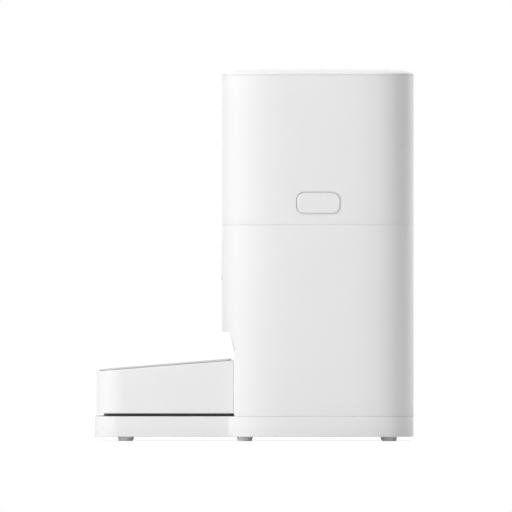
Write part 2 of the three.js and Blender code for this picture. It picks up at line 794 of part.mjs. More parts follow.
function lowerHousing() {
  const outer = towerLoft([
    [0, housingBottomZ, lowerFrontY],
    [0, slopeBottomZ, lowerFrontY],
    [0, overhangZ - clearance, slopeTopY],
    [0, overhangZ, towerFrontY + clearance * 2],
    [0, overhangZ + clearance * 2, towerFrontY],
    [0, housingTopZ, towerFrontY],
  ]);
  const inner = towerLoft([
    [wall, housingBottomZ - overrun, lowerFrontY],
    [wall, slopeBottomZ + wall / 2, lowerFrontY],
    [wall, overhangZ + wall / 2, slopeTopY],
    [wall, overhangZ + wall, towerFrontY],
    [wall, housingTopZ + overrun, towerFrontY],
  ]);
  const mouth = prismAlongX(mouthShape(), -chuteHalfWidth - clearance, chuteHalfWidth + clearance);
  const throughFront = [towerFrontY - overrun, towerFrontY + wall + overrun];
  const panelHole = prismAlongY(panelOutline(-panelMargin), ...throughFront);
  const panelSeat = prismAlongY(panelOutline(clearance), ...throughFront)
    .intersect(skin(-overrun, panelInset + clearance));
  const throughRear = [innerFaceY - overrun, towerRearY + overrun];
  const socketHole = barAlongY(0, socketZ, socketRadius + clearance, ...throughRear, 16);
  const shell = cut(outer, inner, mouth, panelHole, panelSeat, socketHole);
  const root = wall / 2;
  const ledgeTop = deckZ - clearance;
  const ledges = sides.flatMap(([, side]) => [rotorY - drumRadius / 2, rotorY + drumRadius].map((y) => {
    const [near, far] = [side * (halfTower - wall - deckLedge * 2), side * (halfTower - root)];
    return prismAlongY(polygonShape([[near, ledgeTop], [far, ledgeTop], [far, ledgeTop - deckLedge * 3]]),
      y - deckLedge * 2, y + deckLedge * 2);
  }));
  const catches = sides.map(([, side]) => {
    const [near, far] = [halfTower - wall - catchReach, halfTower - root];
    const shelf = prismAlongX(polygonShape([
      [buttonY - catchReach * 0.8, catchZ],
      [buttonY + catchReach * 0.8, catchZ],
      [buttonY + catchReach * 0.8, catchZ + catchThickness],
      [buttonY - catchReach * 0.8, catchZ + catchThickness],
    ]), ...between(side * near, side * far));
    const gusset = prismAlongY(polygonShape([
      [side * near, catchZ + catchThickness / 2],
      [side * far, catchZ + catchThickness / 2],
      [side * far, catchZ - catchReach],
    ]), buttonY + catchReach * 0.8 - innerWall, buttonY + catchReach * 0.8);
    return join(shelf, gusset);
  });
  return join(shell, ...ledges, ...catches);
}

piece('lower_housing', lowerHousing(), finishes.shell());

// Front panel: a glossy cover with the feed button and a light, and their small board

const lightHalfWidth = 5;
const lightRadius = 1.5;
const lightDrop = 6;
const lightZ = panelZ + panelHeight / 2 - lightDrop;
const feedButtonDrop = 3.5;
const feedButtonZ = panelZ - feedButtonDrop;
const feedButtonFlange = 1.2;
const switchHeight = 1;

function frontPanel() {
  const patch = prismAlongY(panelOutline(0), towerFrontY - overrun, towerFrontY + overrun)
    .intersect(skin(-panelProud, panelInset));
  const light = roundedShape(0, lightZ, (lightHalfWidth + clearance) * 2, (lightRadius + clearance) * 2,
    lightRadius + clearance);
  const postX = panelWidth / 2 - panelMargin - postRadius * 2;
  const postRise = panelHeight / 2 - panelMargin - postRadius * 1.6;
  const posts = sides.flatMap(([, side]) => [-1, 1].map((up) => (
    barAlongY(side * postX, panelZ + up * postRise, postRadius * 0.8, towerFrontY + panelInset / 2,
      panelBoardY - clearance, 6)
  )));
  return cut(join(patch, ...posts),
    barAlongY(0, feedButtonZ, feedButtonRadius + seamGap, towerFrontY - overrun, towerFrontY + overrun, 16),
    prismAlongY(light, towerFrontY - overrun, towerFrontY + overrun));
}

function feedButton() {
  const round = 0.6;
  const flangeY = towerFrontY + panelInset + clearance;
  const frontY = towerFrontY - panelProud;
  const stemEnd = panelBoardY - feedButtonTravel - clearance - switchHeight;
  return turnedAlongY(0, feedButtonZ, [
    [0, frontY + round / 2],
    [feedButtonRadius * 0.7, frontY + round / 3],
    [feedButtonRadius - round, frontY],
    [feedButtonRadius, frontY + round],
    [feedButtonRadius, flangeY],
    [feedButtonRadius + panelMargin * 0.4, flangeY],
    [feedButtonRadius + panelMargin * 0.4, flangeY + feedButtonFlange],
    [postRadius, flangeY + feedButtonFlange],
    [postRadius, stemEnd],
    [0, stemEnd],
  ], 16);
}

function lightGuide() {
  const face = roundedShape(0, lightZ, lightHalfWidth * 2, lightRadius * 2, lightRadius);
  return prismAlongY(face, towerFrontY - panelProud + clearance / 2, panelBoardY - switchHeight);
}

function panelBoard() {
  const edge = panelMargin / 2;
  const halfWidth = panelWidth / 2 - edge;
  const halfHeight = panelHeight / 2 - edge;
  const plate = block([-halfWidth, halfWidth], [panelBoardY, panelBoardY + boardThickness],
    [panelZ - halfHeight, panelZ + halfHeight]);
  const key = postRadius * 1.2;
  const switchBody = block([-key, key], [panelBoardY - switchHeight, panelBoardY + boardThickness / 2],
    [feedButtonZ - key, feedButtonZ + key]);
  const socket = block([panelWidth / 8, panelWidth / 3],
    [panelBoardY + boardThickness / 2, panelBoardY + key * 2], [panelZ - panelHeight / 4, panelZ]);
  return join(plate, switchBody, socket);
}

piece('front_panel', frontPanel(), finishes.gloss());
piece('feed_button', feedButton(), finishes.gloss());
piece('light_guide', lightGuide(), finishes.clear());
piece('panel_board', panelBoard(), finishes.board());

// Chute, deck and seal under the metering drum

function chute() {
  const outer = prismAlongX(polygonShape([
    [chuteFrontY, deckZ - clearance],
    [slopeY(chuteMouthHighZ), chuteMouthHighZ],
    [slopeY(chuteMouthLowZ), chuteMouthLowZ],
    [chuteRearY, deckZ - clearance],
  ]), -chuteHalfWidth, chuteHalfWidth);
  const inner = prismAlongX(polygonShape([
    [chuteFrontY + chuteWall, deckZ + overrun],
    [chuteFrontY + chuteWall, deckZ - clearance],
    [slopeY(chuteMouthHighZ) + chuteWall, chuteMouthHighZ - chuteWall],
    [slopeY(chuteMouthHighZ) - overrun, chuteMouthHighZ - chuteWall],
    [slopeY(chuteMouthLowZ) - overrun, chuteMouthLowZ + chuteWall],
    [slopeY(chuteMouthLowZ) + chuteWall / 2, chuteMouthLowZ + chuteWall],
    [chuteRearY - chuteWall, deckZ - clearance],
    [chuteRearY - chuteWall, deckZ + overrun],
  ]), -chuteHalfWidth + chuteWall, chuteHalfWidth - chuteWall);
  const lip = 5;
  const flange = block([-chuteHalfWidth - lip, chuteHalfWidth + lip],
    [chuteFrontY - lip / 2, chuteRearY + lip], [deckZ - clearance - innerWall, deckZ - clearance]);
  return cut(join(outer, flange), inner);
}

const outletHalfAngle = THREE.MathUtils.degToRad(26);
const shaftRoom = 3;

function deck() {
  const inset = wall + clearance;
  const plate = towerLoft([[inset, deckZ], [inset, deckZ + deckThickness]]);
  const through = [deckZ - overrun, deckZ + deckThickness + overrun];
  const opening = prism(frontSector(outletInner, outletOuter, outletHalfAngle), ...through);
  const bore = bar(0, rotorY, driveShaftRadius + shaftRoom, ...through);
  const wireHole = bar(towerWidth / 4, innerFaceY - towerWidth / 8, postRadius * 4, ...through);
  return cut(plate, opening, bore, wireHole);
}

const sealHeight = 2;
const sealWidth = 3;
const drumBottomZ = deckZ + deckThickness + sealHeight + clearance * 2;

function drumSeal() {
  const grow = sealWidth / (drumRadius * 0.7);
  const outer = frontSector(outletInner - sealWidth, outletOuter + sealWidth, outletHalfAngle + grow);
  const inner = frontSector(outletInner, outletOuter, outletHalfAngle);
  const bottom = deckZ + deckThickness + clearance;
  const top = bottom + sealHeight;
  return cut(prism(outer, bottom, top), prism(inner, bottom - overrun, top + overrun));
}

piece('chute', chute(), finishes.inner());
piece('deck', deck(), finishes.inner());
piece('outlet_seal', drumSeal(), finishes.silicone());

// Gear train under the deck: motor pinion, compound idler, drive gear and dog shaft

const gearboxWall = 1.8;
const gearboxHalf = pitchRadius(idlerLargeTeeth) + gearModule * 1.2 + gearboxWall;
const gearboxFrontY = rotorY - pitchRadius(driveTeeth) - gearModule * 1.2 - gearboxWall;
const gearboxRearY = pinionY + pitchRadius(pinionTeeth) + gearModule * 2 + gearboxWall;
const gearboxFloorDrop = 4.5;
const gearboxFloorZ = idlerLargeZ - gearboxFloorDrop;
const gearboxSplitZ = idlerLargeZ + gearFace + clearance * 3;
const gearboxTopZ = driveGearZ + gearFace + clearance * 2;
const gearboxPlate = 2;
const bushRadius = 6;
const dogHeight = 7;
const dogLength = 15;
const dogWidth = 4;
const dogTopZ = drumBottomZ + drumFloor + dogHeight;

function gearboxOutline(inset) {
  const length = gearboxRearY - gearboxFrontY;
  return roundedShape(0, gearboxFrontY + length / 2, (gearboxHalf - inset) * 2, length - inset * 2,
    gearboxHalf - inset - clearance);
}

function gearboxBase() {
  const shell = cut(
    prism(gearboxOutline(0), gearboxFloorZ, gearboxSplitZ),
    prism(gearboxOutline(gearboxWall), gearboxFloorZ + gearboxPlate, gearboxSplitZ + overrun),
  );
  const bossTop = idlerLargeZ - clearance;
  const shaftBoss = bar(0, rotorY, driveShaftRadius + innerWall, gearboxFloorZ + gearboxPlate / 2, bossTop);
  const pinBoss = bar(0, idlerY, idlerPinRadius + innerWall, gearboxFloorZ + gearboxPlate / 2, bossTop);
  return cut(
    join(shell, shaftBoss, pinBoss),
    bar(0, rotorY, driveShaftRadius + clearance, gearboxFloorZ + gearboxPlate, bossTop + overrun),
    bar(0, idlerY, idlerPinRadius + clearance, gearboxFloorZ + gearboxPlate, bossTop + overrun),
    bar(0, pinionY, motorRadius * motorBossShare + clearance, gearboxFloorZ - overrun,
      gearboxFloorZ + gearboxPlate + overrun),
  );
}

function gearboxCover() {
  const bottom = gearboxSplitZ + clearance;
  const shell = cut(
    prism(gearboxOutline(0), bottom, gearboxTopZ + gearboxPlate),
    prism(gearboxOutline(gearboxWall), bottom - overrun, gearboxTopZ),
  );
  const postX = gearboxHalf - postRadius * 2;
  const posts = sides.flatMap(([, side]) => [idlerY - gearboxHalf / 3, pinionY].map((y) => (
    bar(side * postX, y, postRadius * 1.2, gearboxTopZ + gearboxPlate / 2, deckZ - clearance, 8)
  )));
  return cut(join(shell, ...posts), bar(0, rotorY, bushRadius + clearance, bottom, gearboxTopZ + overrun));
}

function driveBush() {
  const flange = 1.2;
  const bore = driveShaftRadius + clearance;
  return turned(0, rotorY, [
    [bore, gearboxTopZ - clearance],
    [bushRadius, gearboxTopZ - clearance],
    [bushRadius, gearboxTopZ + gearboxPlate + clearance],
    [bushRadius + flange, gearboxTopZ + gearboxPlate + clearance],
    [bushRadius + flange, gearboxTopZ + gearboxPlate + clearance + flange],
    [bore, gearboxTopZ + gearboxPlate + clearance + flange],
    [bore, gearboxTopZ - clearance],
  ], 12);
}

// Two crossed bars, the dog on the shaft and, grown by the clearance, its socket.
function dogCross(grow, z0, z1) {
  const [long, short] = [dogLength / 2 + grow, dogWidth / 2 + grow];
  return join(
    block([-long, long], [rotorY - short, rotorY + short], [z0, z1]),
    block([-short, short], [rotorY - long, rotorY + long], [z0, z1]),
  );
}

function driveShaft() {
  const bottom = gearboxFloorZ + gearboxPlate + clearance;
  const dogBottom = drumBottomZ + drumFloor + clearance;
  const shaft = bar(0, rotorY, driveShaftRadius, bottom, dogTopZ - clearance);
  return join(shaft, dogCross(0, dogBottom, dogTopZ));
}

function driveGear() {
  const blank = gear(driveTeeth, driveGearZ, gearFace, toothAhead, rotorY);
  return cut(blank, bar(0, rotorY, driveShaftRadius + clearance, 0, splitZ));
}

function idlerGear() {
  const large = gear(idlerLargeTeeth, idlerLargeZ, gearFace, toothAhead, idlerY);
  const smallZ = idlerLargeZ + gearFace - clearance;
  const small = gear(idlerSmallTeeth, smallZ, driveGearZ + gearFace - smallZ, gapBehind(idlerSmallTeeth), idlerY);
  return cut(join(large, small), bar(0, idlerY, idlerPinRadius + clearance, 0, splitZ, 16));
}

function idlerPin() {
  const [bottom, top] = [gearboxFloorZ + gearboxPlate + clearance, gearboxTopZ - clearance];
  return bar(0, idlerY, idlerPinRadius, bottom, top);
}

function motorPinion() {
  const pinion = gear(pinionTeeth, idlerLargeZ - clearance * 2, gearFace, gapBehind(pinionTeeth), pinionY);
  return cut(pinion, bar(0, pinionY, motorRadius * motorShaftShare + clearance, 0, splitZ, 12));
}

function motor() {
  const top = gearboxFloorZ - clearance;
  const neck = motorRadius * motorBossShare;
  const shaftRadius = motorRadius * motorShaftShare;
  const round = 1.5;
  const can = turned(0, pinionY, [
    [0, top - motorLength - round],
    [neck, top - motorLength - round],
    [neck, top - motorLength],
    [motorRadius - round, top - motorLength],
    [motorRadius, top - motorLength + round],
    [motorRadius, top - round],
    [motorRadius - round, top],
    [neck, top],
    [neck, gearboxFloorZ + gearboxPlate],
    [shaftRadius, gearboxFloorZ + gearboxPlate],
    [shaftRadius, idlerLargeZ + gearFace - clearance],
    [0, idlerLargeZ + gearFace - clearance],
  ], 14);
  const tabs = sides.map(([, side]) => block(
    between(side * motorRadius * 0.5, side * motorRadius * 0.7),
    [pinionY - round, pinionY + round],
    [top - motorLength - round * 3, top - motorLength + round],
  ));
  return join(can, ...tabs);
}

piece('gearbox_base', gearboxBase(), finishes.inner());
piece('gearbox_cover', gearboxCover(), finishes.inner());
piece('drive_bush', driveBush(), finishes.brass());
piece('drive_shaft', driveShaft(), finishes.steel());
piece('drive_gear', driveGear(), finishes.gear());
piece('idler_pin', idlerPin(), finishes.steel());
piece('idler_gear', idlerGear(), finishes.gear());
piece('motor_pinion', motorPinion(), finishes.gear());
piece('motor', motor(), finishes.steel());

// Electronics: the control board on a bracket under the deck, sensors and the power socket

function controlBoard() {
  const [front, back] = [boardY, boardY + boardThickness];
  const plate = block([-boardHalfWidth, boardHalfWidth], [front, back], [boardBottomZ, boardTopZ]);
  const height = boardHeight;
  const part = (x, z, width, tall, depth) => block(
    [x - width / 2, x + width / 2],
    [front - depth, front + boardThickness / 2],
    [z - tall / 2, z + tall / 2],
  );
  const middle = boardBottomZ + height / 2;
  const radio = part(-boardHalfWidth * 0.45, middle + height * 0.22, boardHalfWidth * 0.5, height * 0.3,
    boardThickness * 2);
  const chipSize = boardHalfWidth * 0.3;
  const chip = part(boardHalfWidth * 0.2, middle, chipSize, chipSize, boardThickness);
  const plugShares = [-0.8, 0.5, 0.82];
  const plugZ = boardBottomZ + height * 0.12;
  const plugs = plugShares.map((share) => (
    part(boardHalfWidth * share, plugZ, boardHalfWidth * 0.28, height * 0.1, boardThickness * 4)
  ));
  const capacitor = barAlongY(boardHalfWidth * 0.65, middle - height * 0.1, boardThickness * 2.5,
    front - boardThickness * 6, front + boardThickness / 2);
  return join(plate, radio, chip, ...plugs, capacitor);
}

// Two legs that hang from the deck behind the board, with a bar between them.
function boardBracket() {
  const legWidth = 4;
  const legDepth = 6;
  const front = boardY + boardThickness + clearance;
  const [foot, top] = [boardBottomZ + legWidth, deckZ - clearance];
  const legX = boardHalfWidth - legWidth;
  const legs = sides.map(([, side]) => block([side * legX - legWidth / 2, side * legX + legWidth / 2],
    [front, front + legDepth], [foot, top]));
  const head = block([-legX, legX], [front, front + legDepth], [top - legWidth, top]);
  return join(...legs, head);
}

// A sensor against the inside of the housing's wall, with its lens towards the funnel's neck.
function levelSensor(side) {
  const depth = 7;
  const outerX = halfTower - wall - clearance;
  const near = side * (outerX - depth);
  const body = block(between(near, side * halfTower),
    [rotorY - sensorHeight * 0.7, rotorY + sensorHeight * 0.7],
    [sensorZ - sensorHeight / 2, sensorZ + sensorHeight / 2]);
  const lens = new THREE.SphereGeometry(sensorHeight / 4, 8, 6);
  lens.translate(near, rotorY, sensorZ);
  return cut(join(body, toSolid(lens)), skin(-overrun, wall + clearance));
}

// A socket for a barrel plug, with its pin, in the rear wall near the base.
function powerSocket() {
  const depth = 13;
  const half = 5.5;
  const boreRadius = 2.8;
  const pinRadius = 1;
  const barrelEnd = towerRearY - clearance;
  const bodyEnd = innerFaceY - clearance;
  const body = block([-half, half], [bodyEnd - depth, bodyEnd], [socketZ - half, socketZ + half]);
  const barrel = barAlongY(0, socketZ, socketRadius, bodyEnd - half, barrelEnd, 16);
  const bore = barAlongY(0, socketZ, boreRadius, bodyEnd - depth * 0.6, barrelEnd + overrun, 12);
  const pin = barAlongY(0, socketZ, pinRadius, bodyEnd - depth * 0.7, barrelEnd - pinRadius, 8);
  const legs = sides.map(([, side]) => block(
    between(side * half * 0.4, side * half * 0.7),
    [bodyEnd - depth - pinRadius * 2, bodyEnd - depth + pinRadius],
    [socketZ - pinRadius, socketZ + pinRadius],
  ));
  return join(cut(join(body, barrel), bore), pin, ...legs);
}

piece('control_board', controlBoard(), finishes.board());
piece('board_bracket', boardBracket(), finishes.inner());
for (const [name, side] of sides) piece(`level_sensor_${name}`, levelSensor(side), finishes.dark());
piece('power_socket', powerSocket(), finishes.dark());

// Food bin: the upper shell with a ledge for the funnel and a window for each button

const funnelLedgeRise = 22.1;
const funnelLedgeZ = buttonZ + funnelLedgeRise;
const ledgeReach = 3.5;
const buttonFlangeReach = 2.2;
const collarDepth = 12.5;

function buttonPrism(grow, x0, x1) {
  const [length, height] = [buttonHoleLength + grow * 2, buttonHoleHeight + grow * 2];
  return prismAlongX(roundedShape(buttonY, buttonZ, length, height, buttonHoleRadius + grow), x0, x1);
}

function binShell() {
  const softEdge = 0.6;
  const shell = towerLoft([
    [0, binBottomZ],
    [0, binTopZ - softEdge],
    [softEdge, binTopZ],
    [wall, binTopZ],
    [wall, funnelLedgeZ],
    [wall + ledgeReach, funnelLedgeZ],
    [wall + ledgeReach, funnelLedgeZ - innerWall / 2],
    [wall, funnelLedgeZ - ledgeReach - innerWall / 2],
    [wall, binBottomZ],
  ], true);
  const windows = sides.map(([, side]) => (
    buttonPrism(0, ...between(side * (halfTower - wall - overrun), side * (halfTower + overrun)))
  ));
  return cut(shell, ...windows);
}

// The bin's inner frame: a ring that enters the housing, with a collar round each button.

const frameInset = wall + clearance;
const frameThickness = 2;
const spigotDepth = 9;
const collarWall = 2;

function binFrame() {
  const sleeve = buttonFlangeReach + clearance;
  const halfLength = buttonHoleLength / 2 + sleeve;
  const halfHeight = buttonHoleHeight / 2 + sleeve;
  const ringTopZ = buttonZ - halfHeight - collarWall / 4;
  const ring = towerLoft([
    [frameInset, housingTopZ - spigotDepth],
    [frameInset, ringTopZ],
    [frameInset + frameThickness, ringTopZ],
    [frameInset + frameThickness, housingTopZ - spigotDepth],
  ], true);
  const tube = (grow, ends) => block(ends, [buttonY - halfLength - grow, buttonY + halfLength + grow],
    [buttonZ - halfHeight - grow, buttonZ + halfHeight + grow]);
  const collars = sides.map(([, side]) => {
    const near = side * (halfTower - wall - collarDepth);
    return cut(tube(collarWall, between(near, side * halfTower)), tube(0, [-towerWidth, towerWidth]));
  });
  return cut(join(ring, ...collars), skin(-overrun, frameInset));
}

// Hopper funnel: rests on the ledge, steps in past the buttons and narrows to a round neck.

const funnelInset = 27;
const funnelStepRise = 9.6;
const funnelConeDrop = 13.9;
const neckHeight = 10;
const funnelStepZ = buttonZ + funnelStepRise;
const funnelConeZ = buttonZ - funnelConeDrop;
const neckTopZ = drumTopZ + neckHeight;
const skirtDepth = 8;

function hopperFunnel() {
  const neckOuter = neckRadius + innerWall;
  const neckBottomZ = drumTopZ + clearance;
  const flangeZ = funnelLedgeZ + clearance;
  const rings = [
    neckRing(neckOuter, neckBottomZ),
    neckRing(neckOuter, neckTopZ),
    towerRing(funnelInset, funnelConeZ),
    towerRing(funnelInset, funnelStepZ),
    towerRing(wall + ledgeReach, flangeZ),
    towerRing(frameInset, flangeZ),
    towerRing(frameInset, flangeZ + innerWall),
    towerRing(funnelInset + innerWall, funnelStepZ + innerWall),
    towerRing(funnelInset + innerWall, funnelConeZ + innerWall / 2),
    neckRing(neckRadius, neckTopZ + innerWall / 2),
    neckRing(neckRadius, neckBottomZ),
  ];
  const skirtInner = drumRadius + drumWall + clearance;
  const skirt = turned(0, rotorY, [
    [neckRadius + innerWall / 2, neckBottomZ],
    [skirtInner, neckBottomZ],
    [skirtInner, neckBottomZ - skirtDepth],
    [skirtInner + innerWall, neckBottomZ - skirtDepth],
    [skirtInner + innerWall, neckBottomZ + innerWall],
    [neckRadius + innerWall / 2, neckBottomZ + innerWall],
    [neckRadius + innerWall / 2, neckBottomZ],
  ], drumSides);
  return join(loft(rings, true), skirt);
}

// Metering drum: a cup with a sector outlet in the front of its floor.

const dogRoom = 1.5;
const hubBoreRadius = dogLength / 2 + dogRoom;

function meteringDrum() {
  const cup = turned(0, rotorY, [
    [hubBoreRadius, drumBottomZ],
    [drumRadius + drumWall, drumBottomZ],
    [drumRadius + drumWall, drumTopZ],
    [drumRadius, drumTopZ],
    [drumRadius, drumBottomZ + drumFloor],
    [hubBoreRadius, drumBottomZ + drumFloor],
    [hubBoreRadius, drumBottomZ],
  ], drumSides);
  const outlet = prism(frontSector(outletInner, outletOuter, outletHalfAngle), drumBottomZ - overrun,
    drumBottomZ + drumFloor + overrun / 5);
  return cut(cup, outlet);
}

const baffleThickness = 2;
const vaneTopZ = drumTopZ - skirtDepth + clearance;

// The baffle over the outlet, so that food reaches the outlet only between the vanes.
function outletBaffle() {
  const bottom = vaneTopZ + rotorRunningGap;
  const outer = drumRadius * Math.cos(Math.PI / drumSides) - clearance;
  const halfAngle = outletHalfAngle * 1.4;
  const plate = prism(frontSector(hubRadius + rotorRunningGap * 2, outer, halfAngle), bottom,
    bottom + baffleThickness);
  const rim = prism(frontSector(outer - baffleThickness, outer, halfAngle), bottom + baffleThickness / 2,
    drumTopZ);
  return join(plate, rim);
}

// Metering rotor: swept vanes on a hub, with the dog's socket in its underside.

const vaneCount = 6;
const vaneThickness = 2.4;
const hubRadius = 13;
const hubTopZ = drumTopZ - clearance * 4;
const vaneSweep = THREE.MathUtils.degToRad(24);

function meteringRotor() {
  const bottom = drumBottomZ + drumFloor + rotorRunningGap / 2;
  const reach = drumRadius - rotorRunningGap;
  const stepCount = 5;
  const edge = (offset) => Array.from({ length: stepCount + 1 }, (_, i) => {
    const radius = hubRadius * 0.6 + (reach - hubRadius * 0.6) * (i / stepCount);
    const angle = vaneSweep * (i / stepCount) ** 2 + offset / radius;
    return [radius * Math.cos(angle), radius * Math.sin(angle)];
  });
  const strip = [...edge(-vaneThickness / 2), ...edge(vaneThickness / 2).reverse()];
  const vanes = Array.from({ length: vaneCount }, (_, i) => {
    const turn = ((i + 0.5) / vaneCount) * Math.PI * 2;
    return prism(polygonShape(strip), bottom, vaneTopZ, { turn, at: [0, rotorY] });
  });
  const round = 3;
  const hub = turned(0, rotorY, [
    [0, bottom],
    [hubRadius, bottom],
    [hubRadius, hubTopZ - round],
    [hubRadius - round, hubTopZ],
    [0, hubTopZ],
  ], 18);
  const bore = bar(0, rotorY, (driveShaftRadius + clearance) / Math.cos(Math.PI / 16), bottom - overrun,
    dogTopZ + clearance, 16);
  return cut(join(hub, ...vanes), dogCross(clearance, bottom - overrun, dogTopZ + clearance), bore);
}

// Stirrer: a cone on the rotor's hub with two swept arms that keep the food loose.
function stirrer() {
  const height = 30;
  const armRadius = 2;
  const armReach = 44;
  const coneStep = 1;
  const bottom = hubTopZ + clearance;
  const cone = turned(0, rotorY, [
    [0, bottom],
    [hubRadius - coneStep, bottom],
    [hubRadius - coneStep, bottom + armRadius * 3],
    [hubRadius * 0.35, bottom + height - armRadius],
    [hubRadius * 0.2, bottom + height],
    [0, bottom + height],
  ], 12);
  const arms = [0, 1].map((i) => {
    const path = new THREE.QuadraticBezierCurve3(
      new THREE.Vector3(0, 0, bottom + armRadius * 2),
      new THREE.Vector3(armReach * 0.6, 0, bottom + armRadius * 2),
      new THREE.Vector3(armReach, armReach * 0.2, bottom + armRadius * 5),
    );
    const section = new THREE.Shape().absarc(0, 0, armRadius, 0, Math.PI * 2);
    const arm = new THREE.ExtrudeGeometry(section, { steps: 5, extrudePath: path, curveSegments: 3 });
    arm.rotateZ(i * Math.PI);
    arm.translate(0, rotorY, 0);
    return toSolid(arm);
  });
  return join(cone, ...arms);
}

piece('bin_shell', binShell(), finishes.shell());
piece('bin_frame', binFrame(), finishes.inner());
piece('hopper_funnel', hopperFunnel(), finishes.clear());
piece('metering_drum', meteringDrum(), finishes.inner());
piece('outlet_baffle', outletBaffle(), finishes.silicone());
piece('metering_rotor', meteringRotor(), finishes.silicone());
piece('stirrer', stirrer(), finishes.inner());

// Release buttons: a cap in the bin's wall, a flange in the collar and a hook on a long arm

function releaseButton(side) {
  const inside = halfTower - wall;
  const capDepth = 4.5;
  const flangeThickness = 2.2;
  const armThickness = 3;
  const armHalf = 6;
  const span = (a, b) => between(side * a, side * b);
  const face = buttonPrism(-buttonGroove, ...span(inside - overrun, halfTower + overrun));
  const cap = face.intersect(skin(0, capDepth));
  const flangeX = inside - clearance * 3;
  const flange = buttonPrism(buttonFlangeReach, ...span(flangeX - flangeThickness, flangeX));
  const armX = inside - collarDepth - buttonTravel;
  const stem = block(span(armX - armThickness / 2, flangeX - flangeThickness / 2),
    [buttonY - armHalf, buttonY + armHalf], [buttonZ - armHalf * 0.8, buttonZ + armHalf * 0.8]);
  const noseBottomZ = catchZ - clearance - catchThickness;
  const arm = block(span(armX - armThickness, armX), [buttonY - armHalf, buttonY + armHalf],
    [noseBottomZ, buttonZ + armHalf * 0.8]);
  const noseEnd = inside - catchReach - clearance;
  const nose = prismAlongY(polygonShape([
    [side * (armX - armThickness / 2), noseBottomZ],
    [side * (armX), noseBottomZ],
    [side * noseEnd, noseBottomZ + catchThickness * 0.7],
    [side * noseEnd, noseBottomZ + catchThickness],
    [side * (armX - armThickness / 2), noseBottomZ + catchThickness],
  ]), buttonY - armHalf, buttonY + armHalf);
  return join(cap, flange, stem, arm, nose);
}

for (const [name, side] of sides) piece(`release_button_${name}`, releaseButton(side), finishes.shell());

// Lid: a crowned cover over a plug that holds the seal and the desiccant box

const plugGap = 3.2;
const plugInset = wall + plugGap;
const plugThickness = 2.5;
const plugDepth = 13;
const plugFloor = 2.2;
const desiccantRadius = 27;
const desiccantDepth = 9;
const desiccantWall = 1.5;
const boxSides = 18;
const sealThickness = 3.4;

function lidCover() {
  const rimHeight = 0.6;
  const coverWall = 2.2;
  const edge = lidEdgeZ - lidBottomZ;
  return towerLoft([
    [coverWall * 3, lidBottomZ + rimHeight],
    [coverWall, lidBottomZ],
    [0, lidBottomZ],
    [edge * 0.12, lidBottomZ + edge * 0.55],
    [edge * 0.42, lidBottomZ + edge * 0.86],
    [edge * 1.1, lidEdgeZ],
    [edge * 9, lidEdgeZ + (lidTopZ - lidEdgeZ) * 0.64],
    [edge * 20, lidTopZ],
  ]);
}

function lidPlug() {
  const top = lidBottomZ - clearance / 2;
  const bottom = top - plugDepth;
  const cup = towerLoft([
    [plugInset + plugFloor / 2, bottom],
    [plugInset, bottom + plugFloor / 2],
    [plugInset, top],
    [plugInset + plugThickness, top],
    [plugInset + plugThickness, bottom + plugFloor],
  ]);
  const through = [bottom - overrun, bottom + plugFloor + overrun];
  const hole = bar(0, towerCentreY, desiccantRadius + clearance, ...through, boxSides);
  return cut(cup, hole);
}

function lidSeal() {
  const middle = lidBottomZ - clearance / 2 - plugDepth / 2;
  const half = sealThickness / 2;
  const [outer, inner] = [wall + clearance, plugInset - clearance];
  return towerLoft([
    [inner, middle - half],
    [outer, middle],
    [inner, middle + half],
  ], true);
}

const desiccantBottomZ = lidBottomZ - clearance / 2 - plugDepth;

function desiccantBox() {
  const top = desiccantBottomZ + plugFloor + clearance;
  const flange = 3;
  const thin = desiccantWall;
  return turned(0, towerCentreY, [
    [desiccantRadius - thin, desiccantBottomZ],
    [desiccantRadius, desiccantBottomZ],
    [desiccantRadius, top],
    [desiccantRadius + flange, top],
    [desiccantRadius + flange, top + thin],
    [desiccantRadius, top + thin],
    [desiccantRadius, desiccantBottomZ + desiccantDepth],
    [0, desiccantBottomZ + desiccantDepth],
    [0, desiccantBottomZ + desiccantDepth - thin],
    [desiccantRadius - thin, desiccantBottomZ + desiccantDepth - thin],
    [desiccantRadius - thin, desiccantBottomZ],
  ], boxSides);
}

// The desiccant cover twists in the box: a pierced disc with a grip bar.
function desiccantCover() {
  const thin = 1.6;
  const radius = (desiccantRadius - desiccantWall) * Math.cos(Math.PI / boxSides) - clearance;
  const slotCount = 8;
  const slotStartShare = 0.45;
  const slotEndShare = 0.8;
  const [start, end] = [radius * slotStartShare, radius * slotEndShare];
  const disc = bar(0, towerCentreY, radius, desiccantBottomZ, desiccantBottomZ + thin, boxSides);
  const slot = polygonShape([[start, -thin], [end, -thin], [end, thin], [start, thin]]);
  const holes = Array.from({ length: slotCount }, (_, i) => prism(
    slot,
    desiccantBottomZ - overrun,
    desiccantBottomZ + thin + overrun,
    { turn: ((i + 0.5) / slotCount) * Math.PI * 2, at: [0, towerCentreY] },
  ));
  const [gripHalf, gripThick] = [radius * 0.34, thin * 0.7];
  const grip = block([-gripHalf, gripHalf], [towerCentreY - gripThick, towerCentreY + gripThick],
    [desiccantBottomZ - thin * 2, desiccantBottomZ + thin / 2]);
  return join(cut(disc, ...holes), grip);
}

piece('lid_cover', lidCover(), finishes.shell());
piece('lid_plug', lidPlug(), finishes.inner());
piece('lid_seal', lidSeal(), finishes.silicone());
piece('desiccant_box', desiccantBox(), finishes.inner());
piece('desiccant_cover', desiccantCover(), finishes.inner());

export default feeder;
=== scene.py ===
import json
import math

